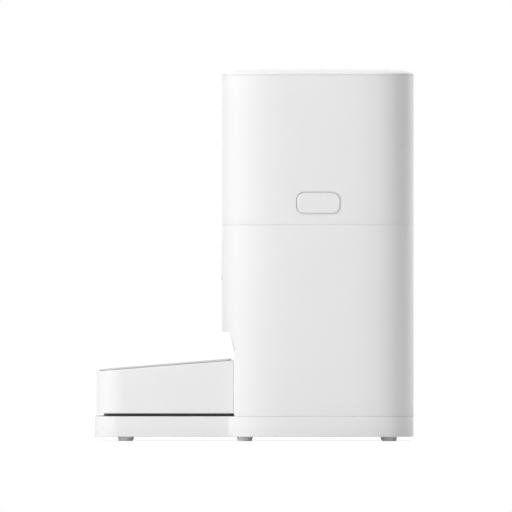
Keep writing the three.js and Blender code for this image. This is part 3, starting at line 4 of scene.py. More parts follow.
import bmesh
import bpy
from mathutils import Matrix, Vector


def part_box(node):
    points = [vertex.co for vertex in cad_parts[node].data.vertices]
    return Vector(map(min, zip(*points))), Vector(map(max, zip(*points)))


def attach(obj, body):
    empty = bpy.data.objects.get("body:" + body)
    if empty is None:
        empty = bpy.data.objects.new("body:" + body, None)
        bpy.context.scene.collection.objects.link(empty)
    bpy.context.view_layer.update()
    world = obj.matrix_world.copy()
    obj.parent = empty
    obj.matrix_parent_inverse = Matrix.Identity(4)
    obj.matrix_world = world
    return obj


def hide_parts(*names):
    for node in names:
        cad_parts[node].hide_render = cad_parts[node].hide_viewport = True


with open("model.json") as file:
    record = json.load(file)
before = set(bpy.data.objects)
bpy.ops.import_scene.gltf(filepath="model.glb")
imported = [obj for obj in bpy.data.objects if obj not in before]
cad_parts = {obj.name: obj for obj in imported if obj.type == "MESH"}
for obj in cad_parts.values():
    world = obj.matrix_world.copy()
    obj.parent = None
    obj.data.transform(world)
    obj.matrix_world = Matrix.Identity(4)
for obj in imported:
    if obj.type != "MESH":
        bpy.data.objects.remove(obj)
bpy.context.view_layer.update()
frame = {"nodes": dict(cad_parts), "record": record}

# Sizes in millimetres, in the frame of the CAD model
MM = 0.001
WALL = 2.5
GAP = 0.3
INNER = WALL + GAP
SOFT_EDGE = 0.2
OVERRUN = 6.0
SIDES = (-1, 1)

# The tower's outline in plan, a superellipse, and where its front is cut off below the overhang
HALF_TOWER = 89.0
TOWER_FRONT_Y = -32.1
TOWER_REAR_Y = 159.4
TOWER_CENTRE_Y = (TOWER_FRONT_Y + TOWER_REAR_Y) / 2
TOWER_REACH = (TOWER_REAR_Y - TOWER_FRONT_Y) / 2
OUTLINE_POWER = 4.6
CORNER_BLEND = 0.5
RING_POINTS = 160
LOWER_FRONT_Y = -19.3
SLOPE_TOP_Y = -24.6

# Levels from the floor up
FOOT_HEIGHT = 4.3
COVER_BOTTOM_Z = 4.9
SCREW_SEAT_Z = 6.3
FOOT_TOP_Z = 6.4
COVER_TOP_Z = 7.7
CEILING_Z = 22.1
BASE_TOP_Z = 24.6
HOUSING_BOTTOM_Z = 24.72
HOLDER_BOTTOM_Z = 27.6
SOCKET_Z = 36.0
SLOPE_BOTTOM_Z = 93.5
OVERHANG_Z = 109.0
DECK_Z = 126.2
DECK_TOP_Z = 128.7
DRUM_BOTTOM_Z = 131.3
DRUM_TOP_Z = 168.0
FEED_BUTTON_Z = 174.5
PANEL_Z = 178.0
LIGHT_Z = 190.0
CATCH_Z = 201.0
FRAME_BOTTOM_Z = 207.0
HOUSING_TOP_Z = 215.4
BIN_BOTTOM_Z = 215.52
FUNNEL_CONE_Z = 224.0
FRAME_TOP_Z = 224.25
FUNNEL_STEP_Z = 247.5
LEDGE_Z = 260.0
PLUG_BOTTOM_Z = 352.45
BIN_TOP_Z = 364.85
LID_BOTTOM_Z = 364.97
PLUG_TOP_Z = 365.3
LID_EDGE_Z = 368.0
LID_TOP_Z = 371.0

# Trays in front of the tower, and the ends of the bowl's sloping rim as depth and height
PLATFORM = dict(width=138.0, front=-159.4, rear=0.0, radius=27.0, rear_radius=27.0)
HOLDER = dict(width=134.0, front=-157.3, rear=-20.6, radius=26.0, rear_radius=0.8)
MAT = dict(width=119.4, front=-150.0, rear=-20.2, radius=18.7, rear_radius=2.0)
RIM_FRONT = (-155.0, 70.8)
RIM_REAR = (-22.9, 81.6)
BOWL_CORNER = 22.0

# Outlines with round corners: width, height and corner radius
BUTTON_HOLE = (44.6, 22.3, 8.6)
BUTTON_FLANGE = (48.4, 25.7, 10.7)
COLLAR_OUTSIDE = (53.0, 30.3, 3.0)
COLLAR_INSIDE = (49.0, 26.3, 1.0)
PANEL = (60.0, 36.0, 12.0)
LIGHT_HOLE = (10.6, 3.6, 1.8)
SOCKET_BODY = (11.0, 11.0, 0.8)

# Side buttons, front panel, power socket and the food's path
BUTTON_PLACE = (64.2, 237.3)
BUTTON_GROOVE = 1.45
BUTTON_STEP = 0.7
CATCH_X = (76.5, 87.5)
PANEL_PROUD = 0.8
PANEL_SEAT = 1.5
FEED_BUTTON_RADIUS = 8.5
SOCKET_RADIUS = 4.2
ROTOR_Y = 46.0
LEDGE_REACH = 3.5
FUNNEL_INSET = 27.0
NECK_RADIUS = 55.5
DRUM_RADIUS = 57.0
DRUM_WALL = 4.0
DRUM_FLOOR = 3.0
HUB_BORE = 9.0
OUTLET_RADII = (20.0, 55.0)
OUTLET_HALF_ANGLE = 26.0

# Lid and underside
PLUG_INSET = 5.7
PLUG_FLOOR = 2.2
BOX_RADIUS = 27.0
BOX_WALL = 1.5
FOOT_RADIUS = 8.0
SCREW_HEAD_RADIUS = 3.2
SCREW_RADIUS = 1.4
DOOR_X = (-52.2, 52.2)
DOOR_Y = (29.7, 109.3)

# Angles in degrees up to which an edge is shaded smooth
SMOOTH_ANGLE = 35.0
FINE_ANGLE = 32.0

# Points round a circle, by how large it is
SMALL_ROUND = 32
ROUND = 48
BUTTON_ROUND = 64
WIDE_ROUND = 96

# Camera: the middle of the picture, half of its width, and the distance in metres
VIEW_Y = 1.9
VIEW_Z = 184.5
HALF_VIEW = 256.0
CAMERA_DISTANCE = 20.0

# The upright lamps: compass angle, watts, width in metres, and whether gloss and steel mirror it
LAMPS = [
    (-100, 7.0, 1.8, False),
    (-68, 4.0, 0.7, True),
    (-53, 40.0, 0.7, False),
    (-20, 22.0, 1.8, False),
    (5, 6.5, 1.8, False),
    (115, 4.0, 1.8, False),
    (138, 9.0, 1.8, False),
    (142, 12.5, 1.8, True),
    (190, 25.0, 1.8, False),
]
OVERHEAD_POWER = 91.0
WORLD_STRENGTH = 0.1


# Node materials

NOISE_SHARES = (0.3, 0.7)
DRIFT_SCALE = 14.0
DRIFT_DETAIL = 3.0
GRAIN_DETAIL = 2.0
GRAIN_DEPTH = 0.02 * MM
COAT_ROUGHNESS = 0.08
GLOW_REACH = 4.0 * MM


def new_material(name):
    material = bpy.data.materials.new(name)
    material.use_nodes = True
    nodes = material.node_tree.nodes
    links = material.node_tree.links
    return material, nodes, links, nodes["Principled BSDF"]


def add_noise(nodes, links, scale, detail, stretch=(1.0, 1.0, 1.0)):
    """A noise in object space, so that it stays on the piece."""
    coord = nodes.new("ShaderNodeTexCoord")
    mapping = nodes.new("ShaderNodeMapping")
    mapping.inputs["Scale"].default_value = stretch
    noise = nodes.new("ShaderNodeTexNoise")
    noise.inputs["Scale"].default_value = scale
    noise.inputs["Detail"].default_value = detail
    links.new(coord.outputs["Object"], mapping.inputs["Vector"])
    links.new(mapping.outputs["Vector"], noise.inputs["Vector"])
    return noise.outputs["Fac"]


def map_range(nodes, links, source, given, wanted):
    """Maps a value from one range to another."""
    ranged = nodes.new("ShaderNodeMapRange")
    for socket, value in zip(("From Min", "From Max", "To Min", "To Max"), (*given, *wanted)):
        ranged.inputs[socket].default_value = value
    links.new(source, ranged.inputs["Value"])
    return ranged.outputs["Result"]


def blend_colours(nodes, links, source, colours):
    """Maps a noise to a blend of two colours."""
    ramp = nodes.new("ShaderNodeValToRGB")
    for element, place, colour in zip(ramp.color_ramp.elements, NOISE_SHARES, colours):
        element.position = place
        element.color = (*colour, 1.0)
    links.new(source, ramp.inputs["Fac"])
    return ramp.outputs["Color"]


def add_bump(nodes, links, shader, source, strength):
    bump = nodes.new("ShaderNodeBump")
    bump.inputs["Distance"].default_value = GRAIN_DEPTH
    bump.inputs["Strength"].default_value = strength
    links.new(source, bump.inputs["Height"])
    links.new(bump.outputs["Normal"], shader.inputs["Normal"])


def moulded(name, colour, rough, grain=2600.0, strength=0.12, tint=0.985, metal=0.0, coat=0.0,
            stretch=(1.0, 1.0, 1.0), glow=0.0, clear=0.0):
    """A surface with a slow drift of colour, a varied gloss and a fine grain."""
    material, nodes, links, shader = new_material(name)
    drift = add_noise(nodes, links, DRIFT_SCALE, DRIFT_DETAIL)
    darker = tuple(channel * tint for channel in colour)
    links.new(blend_colours(nodes, links, drift, (darker, colour)), shader.inputs["Base Color"])
    fine = add_noise(nodes, links, grain, GRAIN_DETAIL, stretch)
    links.new(map_range(nodes, links, fine, NOISE_SHARES, rough), shader.inputs["Roughness"])
    add_bump(nodes, links, shader, fine, strength)
    shader.inputs["Metallic"].default_value = metal
    shader.inputs["Coat Weight"].default_value = coat
    shader.inputs["Coat Roughness"].default_value = COAT_ROUGHNESS
    shader.inputs["Subsurface Weight"].default_value = glow
    shader.inputs["Subsurface Radius"].default_value = (GLOW_REACH, GLOW_REACH, GLOW_REACH)
    shader.inputs["Transmission Weight"].default_value = clear
    return material


LOOKS = {
    "shell_white": dict(colour=(0.80, 0.80, 0.802), rough=(0.42, 0.5)),
    "gloss_white": dict(colour=(0.84, 0.84, 0.842), rough=(0.07, 0.12), coat=0.6, strength=0.03),
    "inner_plastic": dict(colour=(0.66, 0.66, 0.64), rough=(0.42, 0.52)),
    "clear_plastic": dict(colour=(0.70, 0.73, 0.75), rough=(0.12, 0.2), glow=0.3, clear=0.35),
    "silicone": dict(colour=(0.56, 0.58, 0.59), rough=(0.5, 0.62), glow=0.25),
    "dark_plastic": dict(colour=(0.035, 0.035, 0.038), rough=(0.35, 0.5)),
    "foot_rubber": dict(colour=(0.72, 0.72, 0.72), rough=(0.62, 0.78), grain=1500.0, strength=0.3),
    "mat_rubber": dict(colour=(0.04, 0.04, 0.042), rough=(0.28, 0.4), grain=1500.0, strength=0.15),
    "gear_resin": dict(colour=(0.78, 0.75, 0.66), rough=(0.35, 0.45), glow=0.1),
    "board_green": dict(colour=(0.03, 0.13, 0.06), rough=(0.3, 0.5), grain=500.0, coat=0.4, tint=0.7),
    "cell_metal": dict(colour=(0.32, 0.34, 0.37), rough=(0.25, 0.4), metal=0.6),
    "steel": dict(colour=(0.56, 0.57, 0.58), rough=(0.22, 0.36), metal=1.0, stretch=(1.0, 1.0, 12.0)),
    "brass": dict(colour=(0.70, 0.52, 0.22), rough=(0.25, 0.4), metal=1.0),
    "bowl_steel": dict(colour=(0.62, 0.62, 0.625), rough=(0.17, 0.3), metal=1.0, grain=1100.0, tint=0.97,
                       stretch=(1.0, 0.03, 1.0), strength=0.2),
}
MATERIALS = {name: moulded(name, **look) for name, look in LOOKS.items()}


# Outlines as pairs

def signed_power(value, power):
    return math.copysign(abs(value) ** power, value)


def circle(radius, count=ROUND, centre=(0.0, 0.0)):
    turns = [2 * math.pi * i / count for i in range(count)]
    return [(centre[0] + radius * math.cos(t), centre[1] + radius * math.sin(t)) for t in turns]


def arc(centre, radius, start, end, steps=5):
    """Points of a round edge, with angles in degrees."""
    turns = [math.radians(start + (end - start) * i / steps) for i in range(steps + 1)]
    return [(centre[0] + radius * math.cos(t), centre[1] + radius * math.sin(t)) for t in turns]


def low_edge(z, radius=SOFT_EDGE, steps=5):
    """A round lower edge, as inset and height."""
    return arc((radius, z + radius), radius, 270, 180, steps)


def top_edge(z, radius=SOFT_EDGE, steps=5):
    """A round upper edge, as inset and height."""
    return arc((radius, z - radius), radius, 180, 90, steps)


def face_bend(face, edge):
    """The round edge of a face, as inset and place, up to the face itself."""
    return [(edge - reach, place) for reach, place in arc((0.0, face - edge), edge, 18, 90, 4)]


def corner_walk(corners, steps):
    """Points round a shape with four round corners, each given as its centre and radius."""
    outline = []
    for quarter, (u, v, radius) in enumerate(corners):
        outline += arc((u, v), radius, 90 * quarter, 90 * (quarter + 1), steps)
    return outline


def rounded(size, centre=(0.0, 0.0), grow=0.0, steps=10):
    """A rectangle with round corners from its width, height and radius, grown on all sides."""
    radius = size[2] + grow
    right = size[0] / 2 + grow - radius
    top = size[1] / 2 + grow - radius
    corners = [(right, top), (-right, top), (-right, -top), (right, -top)]
    return corner_walk([(centre[0] + u, centre[1] + v, radius) for u, v in corners], steps)


def moved(outline, across, up):
    return [(u + across, v + up) for u, v in outline]


def box_outline(first, second):
    return [(first[0], second[0]), (first[1], second[0]), (first[1], second[1]), (first[0], second[1])]


def outlet_sector():
    """The drum's outlet in plan, open to the front."""
    inner, outer = OUTLET_RADII
    front = -90.0
    steps = 12
    start = front - OUTLET_HALF_ANGLE
    end = front + OUTLET_HALF_ANGLE
    axis = (0.0, ROTOR_Y)
    return arc(axis, outer, start, end, steps) + arc(axis, inner, end, start, steps)


# Rings in space and lofts

def along_x(outline, *places):
    return [[Vector((x, y, z)) for y, z in outline] for x in places]


def along_y(outline, *places):
    return [[Vector((x, y, z)) for x, z in outline] for y in places]


def along_z(outline, *places):
    return [[Vector((x, y, z)) for x, y in outline] for z in places]


def tower_ring(inset, z, front_y=TOWER_FRONT_Y):
    """A ring round the tower, drawn in by an inset and cut off flat at its front depth."""
    blend = min(CORNER_BLEND, front_y - TOWER_FRONT_Y)
    flat_y = front_y + inset
    ring = []
    for i in range(RING_POINTS):
        angle = 2 * math.pi * i / RING_POINTS
        x = (HALF_TOWER - inset) * signed_power(math.cos(angle), 2 / OUTLINE_POWER)
        y = TOWER_CENTRE_Y + (TOWER_REACH - inset) * signed_power(math.sin(angle), 2 / OUTLINE_POWER)
        past = y - flat_y
        if abs(past) < blend:
            y = max(y, flat_y) + (blend - abs(past)) ** 2 / (4 * blend)
        elif past < 0:
            y = flat_y
        ring.append(Vector((x, y, z)))
    return ring


def tower_rings(rows):
    return [tower_ring(*row) for row in rows]


def round_ring(radius, z, centre_y=ROTOR_Y):
    """A level circle with as many points as a ring of the tower."""
    return along_z(circle(radius, RING_POINTS, (0.0, centre_y)), z)[0]


def tray_ring(tray, inset, z, rear_radius=None):
    """A ring with wide corners at the front and its own corners at the rear."""
    least_bend = 0.4
    corner_steps = 14
    front_bend = max(tray["radius"] - inset, least_bend)
    rear_bend = max(tray["rear_radius"] - inset, least_bend) if rear_radius is None else rear_radius
    half = tray["width"] / 2 - inset
    front = tray["front"] + inset + front_bend
    rear = tray["rear"] - inset - rear_bend
    corners = [
        (half - rear_bend, rear, rear_bend),
        (rear_bend - half, rear, rear_bend),
        (front_bend - half, front, front_bend),
        (half - front_bend, front, front_bend),
    ]
    return along_z(corner_walk(corners, corner_steps), z)[0]


def loft(rings, looped=False):
    """Vertices and faces that skin a row of rings, closed on itself or capped at its ends."""
    count = len(rings[0])
    verts = [point for ring in rings for point in ring]
    faces = []
    bands = len(rings) if looped else len(rings) - 1
    for band in range(bands):
        low = band * count
        high = ((band + 1) % len(rings)) * count
        for i in range(count):
            after = (i + 1) % count
            faces.append((low + i, low + after, high + after, high + i))
    if not looped:
        faces.append(tuple(reversed(range(count))))
        faces.append(tuple(range(len(verts) - count, len(verts))))
    return verts, faces


def turned(profile, centre, count=ROUND, along="z"):
    """A body turned about an axis from its radius and place pairs."""
    rings = []
    for radius, place in profile:
        outline = circle(radius, count, centre)
        rings += along_z(outline, place) if along == "z" else along_y(outline, place)
    return loft(rings)


# Mesh pieces

def add_object(name, data):
    obj = bpy.data.objects.new(name, data)
    bpy.context.scene.collection.objects.link(obj)
    return obj


def turn_outwards(mesh):
    work = bmesh.new()
    work.from_mesh(mesh)
    bmesh.ops.recalc_face_normals(work, faces=work.faces)
    work.to_mesh(mesh)
    work.free()


def smooth(mesh, angle=SMOOTH_ANGLE):
    mesh.polygons.foreach_set("use_smooth", [True] * len(mesh.polygons))
    mesh.set_sharp_from_angle(angle=math.radians(angle))


def make_piece(name, *parts):
    """A mesh object from lofts in millimetres, with its faces turned outwards."""
    verts = []
    faces = []
    for part_verts, part_faces in parts:
        start = len(verts)
        verts.extend(Vector(v) * MM for v in part_verts)
        faces.extend(tuple(start + i for i in face) for face in part_faces)
    mesh = bpy.data.meshes.new(name)
    mesh.from_pydata(verts, [], faces)
    mesh.validate()
    turn_outwards(mesh)
    smooth(mesh)
    return add_object(name, mesh)


def combine(obj, parts, operation):
    """Cuts or joins with lofts and keeps the result as plain mesh."""
    tool = make_piece("tool", *parts)
    modifier = obj.modifiers.new("boolean", "BOOLEAN")
    modifier.operation = operation
    modifier.solver = "EXACT"
    modifier.object = tool
    bpy.context.view_layer.update()
    shape = obj.evaluated_get(bpy.context.evaluated_depsgraph_get())
    result = bpy.data.meshes.new_from_object(shape)
    obj.modifiers.clear()
    obj.data = result
    bpy.data.objects.remove(tool)


def cut(obj, *parts):
    combine(obj, parts, "DIFFERENCE")


def join(obj, *parts):
    combine(obj, parts, "UNION")


def bevel(obj, width):
    """Rounds the hard edges of a CAD node."""
    modifier = obj.modifiers.new("soft_edges", "BEVEL")
    modifier.width = width * MM
    modifier.segments = 2
    modifier.limit_method = "ANGLE"
    modifier.angle_limit = math.radians(FINE_ANGLE)
    modifier.harden_normals = True


def dress(obj, slot, body, *nodes):
    """Gives a piece its finish, its body and the CAD nodes that it stands for."""
    obj.data.materials.clear()
    obj.data.materials.append(MATERIALS[slot])
    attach(obj, body)
    if nodes:
        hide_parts(*nodes)


def tower_normal(place):
    """The outline's own normal for a point on the upright skin of the tower."""
    tolerance = 0.01
    across = place.x / HALF_TOWER
    along = (place.y - TOWER_CENTRE_Y) / TOWER_REACH
    if abs(abs(across) ** OUTLINE_POWER + abs(along) ** OUTLINE_POWER - 1) > tolerance:
        return None
    slope = Vector((
        signed_power(across, OUTLINE_POWER - 1) / HALF_TOWER,
        signed_power(along, OUTLINE_POWER - 1) / TOWER_REACH,
        0.0,
    ))
    return slope.normalized()


def true_normals(obj, low, high):
    """Takes the skin's normals from its formula, so that cut holes leave no shading marks."""
    margin = 0.5
    least_match = 0.9
    mesh = obj.data
    smooth(mesh)
    normals = [Vector(corner.vector) for corner in mesh.corner_normals]
    for polygon in mesh.polygons:
        for corner in polygon.loop_indices:
            place = mesh.vertices[mesh.loops[corner].vertex_index].co / MM
            found = tower_normal(place) if low + margin < place.z < high - margin else None
            if found is not None and found.dot(polygon.normal) > least_match:
                normals[corner] = found
    mesh.normals_split_custom_set(normals)


# Food bin: its shell, inner frame, funnel and metering drum

def bin_shell():
    """The upper shell, with a ledge for the funnel and a hole for each button."""
    ring_heights = (225.0, 252.0, 300.0, 340.0)
    fillet = 0.4
    ledge_edge = 0.3
    ledge_thick = 1.0
    ledge_root = 4.5
    ledge_in = WALL + LEDGE_REACH
    rows = low_edge(BIN_BOTTOM_Z) + [(0.0, z) for z in ring_heights] + top_edge(BIN_TOP_Z)
    rows += [(WALL - SOFT_EDGE, BIN_TOP_Z), (WALL, BIN_TOP_Z - SOFT_EDGE)]
    rows += [(WALL, LEDGE_Z + fillet), (WALL + fillet, LEDGE_Z), (ledge_in - ledge_edge, LEDGE_Z)]
    rows += [(ledge_in, LEDGE_Z - ledge_edge), (ledge_in, LEDGE_Z - ledge_thick)]
    rows += [(WALL, LEDGE_Z - ledge_root), (WALL, BIN_BOTTOM_Z + SOFT_EDGE)]
    shell = make_piece("bin_shell_skin", loft(tower_rings(rows), looped=True))
    hole = rounded(BUTTON_HOLE, BUTTON_PLACE)
    near = HALF_TOWER - WALL - OVERRUN
    far = HALF_TOWER + OVERRUN
    cut(shell, *[loft(along_x(hole, side * near, side * far)) for side in SIDES])
    true_normals(shell, BIN_BOTTOM_Z, BIN_TOP_Z)
    dress(shell, "shell_white", "food_bin", "bin_shell")


def bin_frame():
    """The ring that enters the housing, with a collar round each button."""
    thick = 2.0
    lead_in = 0.5
    lead_up = 0.8
    back_in = 0.4
    back_up = 0.5
    near = 74.0
    far = 86.0
    rows = [(INNER + lead_in, FRAME_BOTTOM_Z), (INNER, FRAME_BOTTOM_Z + lead_up), (INNER, FRAME_TOP_Z)]
    rows += [(INNER + thick, FRAME_TOP_Z), (INNER + thick, FRAME_BOTTOM_Z + back_up)]
    rows += [(INNER + thick - back_in, FRAME_BOTTOM_Z)]
    ring = make_piece("bin_frame_ring", loft(tower_rings(rows), looped=True))
    outer = rounded(COLLAR_OUTSIDE, BUTTON_PLACE)
    inner = rounded(COLLAR_INSIDE, BUTTON_PLACE)
    for side in SIDES:
        rings = along_x(outer, side * near, side * far) + along_x(inner, side * far, side * near)
        join(ring, loft(rings, looped=True))
    smooth(ring.data)
    dress(ring, "inner_plastic", "food_bin", "bin_frame")


def hopper_funnel():
    """Rests on the ledge, steps in past the buttons and narrows to a round neck with a skirt."""
    thick = 2.0
    edge = 0.6
    flange_edge = 0.5
    neck_height = 10.0
    skirt_height = 8.0
    neck_top = DRUM_TOP_Z + neck_height
    neck_bottom = DRUM_TOP_Z + GAP
    skirt = DRUM_RADIUS + DRUM_WALL + GAP
    skirt_bottom = neck_bottom - skirt_height
    shoulder = neck_bottom + thick
    ledge_in = WALL + LEDGE_REACH
    flange = LEDGE_Z + GAP
    flange_top = flange + thick
    waist = FUNNEL_INSET + thick
    step_top = FUNNEL_STEP_Z + thick
    # Soft bends of the inside, as inset and rise from each corner
    ledge_bend = [(0.1, 0.0), (0.9, -0.35)]
    step_bend = [(-1.2, 0.75), (-0.4, 0.0), (0.0, -1.0)]
    cone_bend = [(0.0, 2.2), (0.3, 1.2), (0.9, 0.2)]
    neck_bend = [(0.6, 1.5), (0.1, 0.6), (0.0, -0.4)]
    rings = [
        round_ring(skirt + thick, skirt_bottom),
        round_ring(skirt + thick, shoulder - edge),
        round_ring(skirt + thick - edge, shoulder),
        round_ring(NECK_RADIUS + thick, shoulder),
        round_ring(NECK_RADIUS + thick, neck_top),
        tower_ring(FUNNEL_INSET, FUNNEL_CONE_Z),
        tower_ring(FUNNEL_INSET, FUNNEL_STEP_Z),
        tower_ring(ledge_in, flange),
        tower_ring(INNER, flange),
        tower_ring(INNER, flange_top - flange_edge),
        tower_ring(INNER + flange_edge, flange_top),
    ]
    rings += tower_rings(moved(ledge_bend, ledge_in, flange_top))
    rings += tower_rings(moved(step_bend, waist, step_top))
    rings += tower_rings(moved(cone_bend, waist, FUNNEL_CONE_Z))
    rings += [round_ring(*row) for row in moved(neck_bend, NECK_RADIUS, neck_top)]
    rings += [
        round_ring(NECK_RADIUS, neck_bottom),
        round_ring(skirt, neck_bottom),
        round_ring(skirt, skirt_bottom),
    ]
    piece = make_piece("hopper_funnel_skin", loft(rings, looped=True))
    dress(piece, "clear_plastic", "food_bin", "hopper_funnel")


def metering_drum():
    """A cup with a sector outlet in the front of its floor."""
    foot = 1.0
    rim = 0.6
    fillet = 1.5
    middle_share = 0.3
    floor_z = DRUM_BOTTOM_Z + DRUM_FLOOR
    outer = DRUM_RADIUS + DRUM_WALL
    foot_middle = middle_share * foot
    fillet_middle = middle_share * fillet
    rows = [
        (HUB_BORE, DRUM_BOTTOM_Z),
        (outer - foot, DRUM_BOTTOM_Z),
        (outer - foot_middle, DRUM_BOTTOM_Z + foot_middle),
        (outer, DRUM_BOTTOM_Z + foot),
        (outer, DRUM_TOP_Z - rim),
        (outer - rim, DRUM_TOP_Z),
        (DRUM_RADIUS + rim, DRUM_TOP_Z),
        (DRUM_RADIUS, DRUM_TOP_Z - rim),
        (DRUM_RADIUS, floor_z + fillet),
        (DRUM_RADIUS - fillet_middle, floor_z + fillet_middle),
        (DRUM_RADIUS - fillet, floor_z),
        (HUB_BORE, floor_z),
    ]
    drum = make_piece("metering_drum_cup", loft([round_ring(*row) for row in rows], looped=True))
    cut(drum, loft(along_z(outlet_sector(), DRUM_BOTTOM_Z - OVERRUN, floor_z + OVERRUN)))
    smooth(drum.data)
    dress(drum, "inner_plastic", "food_bin", "metering_drum")


def release_button(node, side):
    """The cap in the bin's wall, its flange, arm, stem and hook."""
    edge = 0.5
    set_in = 0.02
    cap_lap = 1.0
    cap_back_x = 84.5
    face_insets = (1.2, 2.5, 4.0, 5.5, 7.0)
    flange_x = (83.4, 85.6)
    arm_x = 70.0
    stem_x = (68.5, 71.5)
    half_arm = (6.0, 4.8)
    hook_bottom = 197.7
    hook_nose = 0.9
    face_x = HALF_TOWER - set_in
    step_x = face_x - BUTTON_STEP

    def face_ring(inset, x):
        outline = rounded(BUTTON_HOLE, BUTTON_PLACE, -BUTTON_GROOVE - inset, 12)
        return along_x(outline, side * x)[0]

    rings = [face_ring(-cap_lap, cap_back_x), face_ring(-cap_lap, step_x)]
    rings += [face_ring(0.0, step_x), face_ring(0.0, face_x - edge)]
    rings += [face_ring(*row) for row in face_bend(face_x, edge)]
    rings += [face_ring(inset, face_x) for inset in face_insets]
    middle_y, middle_z = BUTTON_PLACE
    arm_y = (middle_y - half_arm[0], middle_y + half_arm[0])
    arm_z = (middle_z - half_arm[1], middle_z + half_arm[1])
    tip_x = CATCH_X[0] - GAP
    hook_top = CATCH_Z - GAP
    hook = [(arm_x, hook_bottom), (stem_x[1], hook_bottom), (tip_x, hook_top - hook_nose)]
    hook += [(tip_x, hook_top), (arm_x, hook_top)]
    piece = make_piece(
        node + "_cap",
        loft(rings),
        loft(along_x(rounded(BUTTON_FLANGE, BUTTON_PLACE), *(side * x for x in flange_x))),
        loft(along_x(box_outline(arm_y, arm_z), side * arm_x, side * cap_back_x)),
        loft(along_x(box_outline(arm_y, (hook_bottom, arm_z[1])), *(side * x for x in stem_x))),
        loft(along_y([(side * x, z) for x, z in hook], *arm_y)),
    )
    dress(piece, "shell_white", node, node)


# Lower housing

def housing_rows():
    """Inset, height and front depth of each row, up the outside and down the inside."""
    low_heights = (40.0, 60.0, 80.0, 91.5)
    high_heights = (125.0, 158.0, 198.0)
    # Soft bends of the front, as rise and depth from each corner
    slope_foot_bend = [(-0.8, -0.2), (0.6, -0.6), (5.0, -2.0)]
    slope_top_bend = [(-2.0, 0.6), (-0.6, 0.1), (-0.1, -0.5), (0.0, -1.4)]
    overhang_bend = [(0.03, 1.7), (0.2, 0.8), (0.7, 0.2), (1.5, 0.0)]
    corners = [
        (SLOPE_BOTTOM_Z, LOWER_FRONT_Y, slope_foot_bend),
        (OVERHANG_Z, SLOPE_TOP_Y, slope_top_bend),
        (OVERHANG_Z, TOWER_FRONT_Y, overhang_bend),
    ]
    rows = [(inset, z, LOWER_FRONT_Y) for inset, z in low_edge(HOUSING_BOTTOM_Z)]
    rows += [(0.0, z, LOWER_FRONT_Y) for z in low_heights]
    for corner_z, corner_y, bend in corners:
        rows += [(0.0, corner_z + rise, corner_y + depth) for rise, depth in bend]
    rows += [(0.0, z, TOWER_FRONT_Y) for z in high_heights]
    rows += [(inset, z, TOWER_FRONT_Y) for inset, z in top_edge(HOUSING_TOP_Z)]
    rows += [(WALL - SOFT_EDGE, HOUSING_TOP_Z, TOWER_FRONT_Y)]
    rows += [(WALL, HOUSING_TOP_Z - SOFT_EDGE, TOWER_FRONT_Y)]
    rows += [(WALL, OVERHANG_Z + WALL, TOWER_FRONT_Y), (WALL, OVERHANG_Z + WALL / 2, SLOPE_TOP_Y)]
    rows += [(WALL, SLOPE_BOTTOM_Z, LOWER_FRONT_Y), (WALL, HOUSING_BOTTOM_Z, LOWER_FRONT_Y)]
    return rows


def lower_housing():
    """The shell, with the chute's mouth, the panel's seat, the socket's hole and the buttons' catches."""
    front = TOWER_FRONT_Y - OVERRUN
    shell = make_piece("lower_housing_skin", loft(tower_rings(housing_rows()), looped=True))
    # The mouth follows the chute's floor and roof down from the deck
    half_mouth = 30.3
    low = 87.7
    high = 106.8
    top = DECK_Z - GAP
    floor_y = (-19.0, 24.6)
    roof_y = (-23.4, -11.3)
    mouth = [(front, low), (floor_y[0], low), (floor_y[1], top), (roof_y[1], top), (roof_y[0], high)]
    cut(shell, loft(along_x(mouth + [(front, high)], -half_mouth, half_mouth)))
    panel_lap = 3.0
    seat = rounded(PANEL, (0.0, PANEL_Z), GAP)
    hole = rounded(PANEL, (0.0, PANEL_Z), -panel_lap)
    socket = circle(SOCKET_RADIUS + GAP, centre=(0.0, SOCKET_Z))
    cut(shell, loft(along_y(seat, front, TOWER_FRONT_Y + PANEL_SEAT)))
    cut(shell, loft(along_y(hole, front, TOWER_FRONT_Y + WALL + OVERRUN)))
    cut(shell, loft(along_y(socket, TOWER_REAR_Y - WALL - OVERRUN, TOWER_REAR_Y + OVERRUN)))
    half_catch = 8.0
    thick = 3.0
    rib = 2.0
    drop = 10.0
    shelf = box_outline(CATCH_X, (CATCH_Z, CATCH_Z + thick))
    rib_top = CATCH_Z + thick / 2
    gusset = [(CATCH_X[0], rib_top), (CATCH_X[1], rib_top), (CATCH_X[1], CATCH_Z - drop)]
    near = BUTTON_PLACE[0] - half_catch
    far = BUTTON_PLACE[0] + half_catch
    for side in SIDES:
        join(shell, loft(along_y([(side * x, z) for x, z in shelf], near, far)))
        join(shell, loft(along_y([(side * x, z) for x, z in gusset], far - rib, far)))
    true_normals(shell, HOUSING_BOTTOM_Z, HOUSING_TOP_Z)
    dress(shell, "shell_white", "base", "lower_housing")


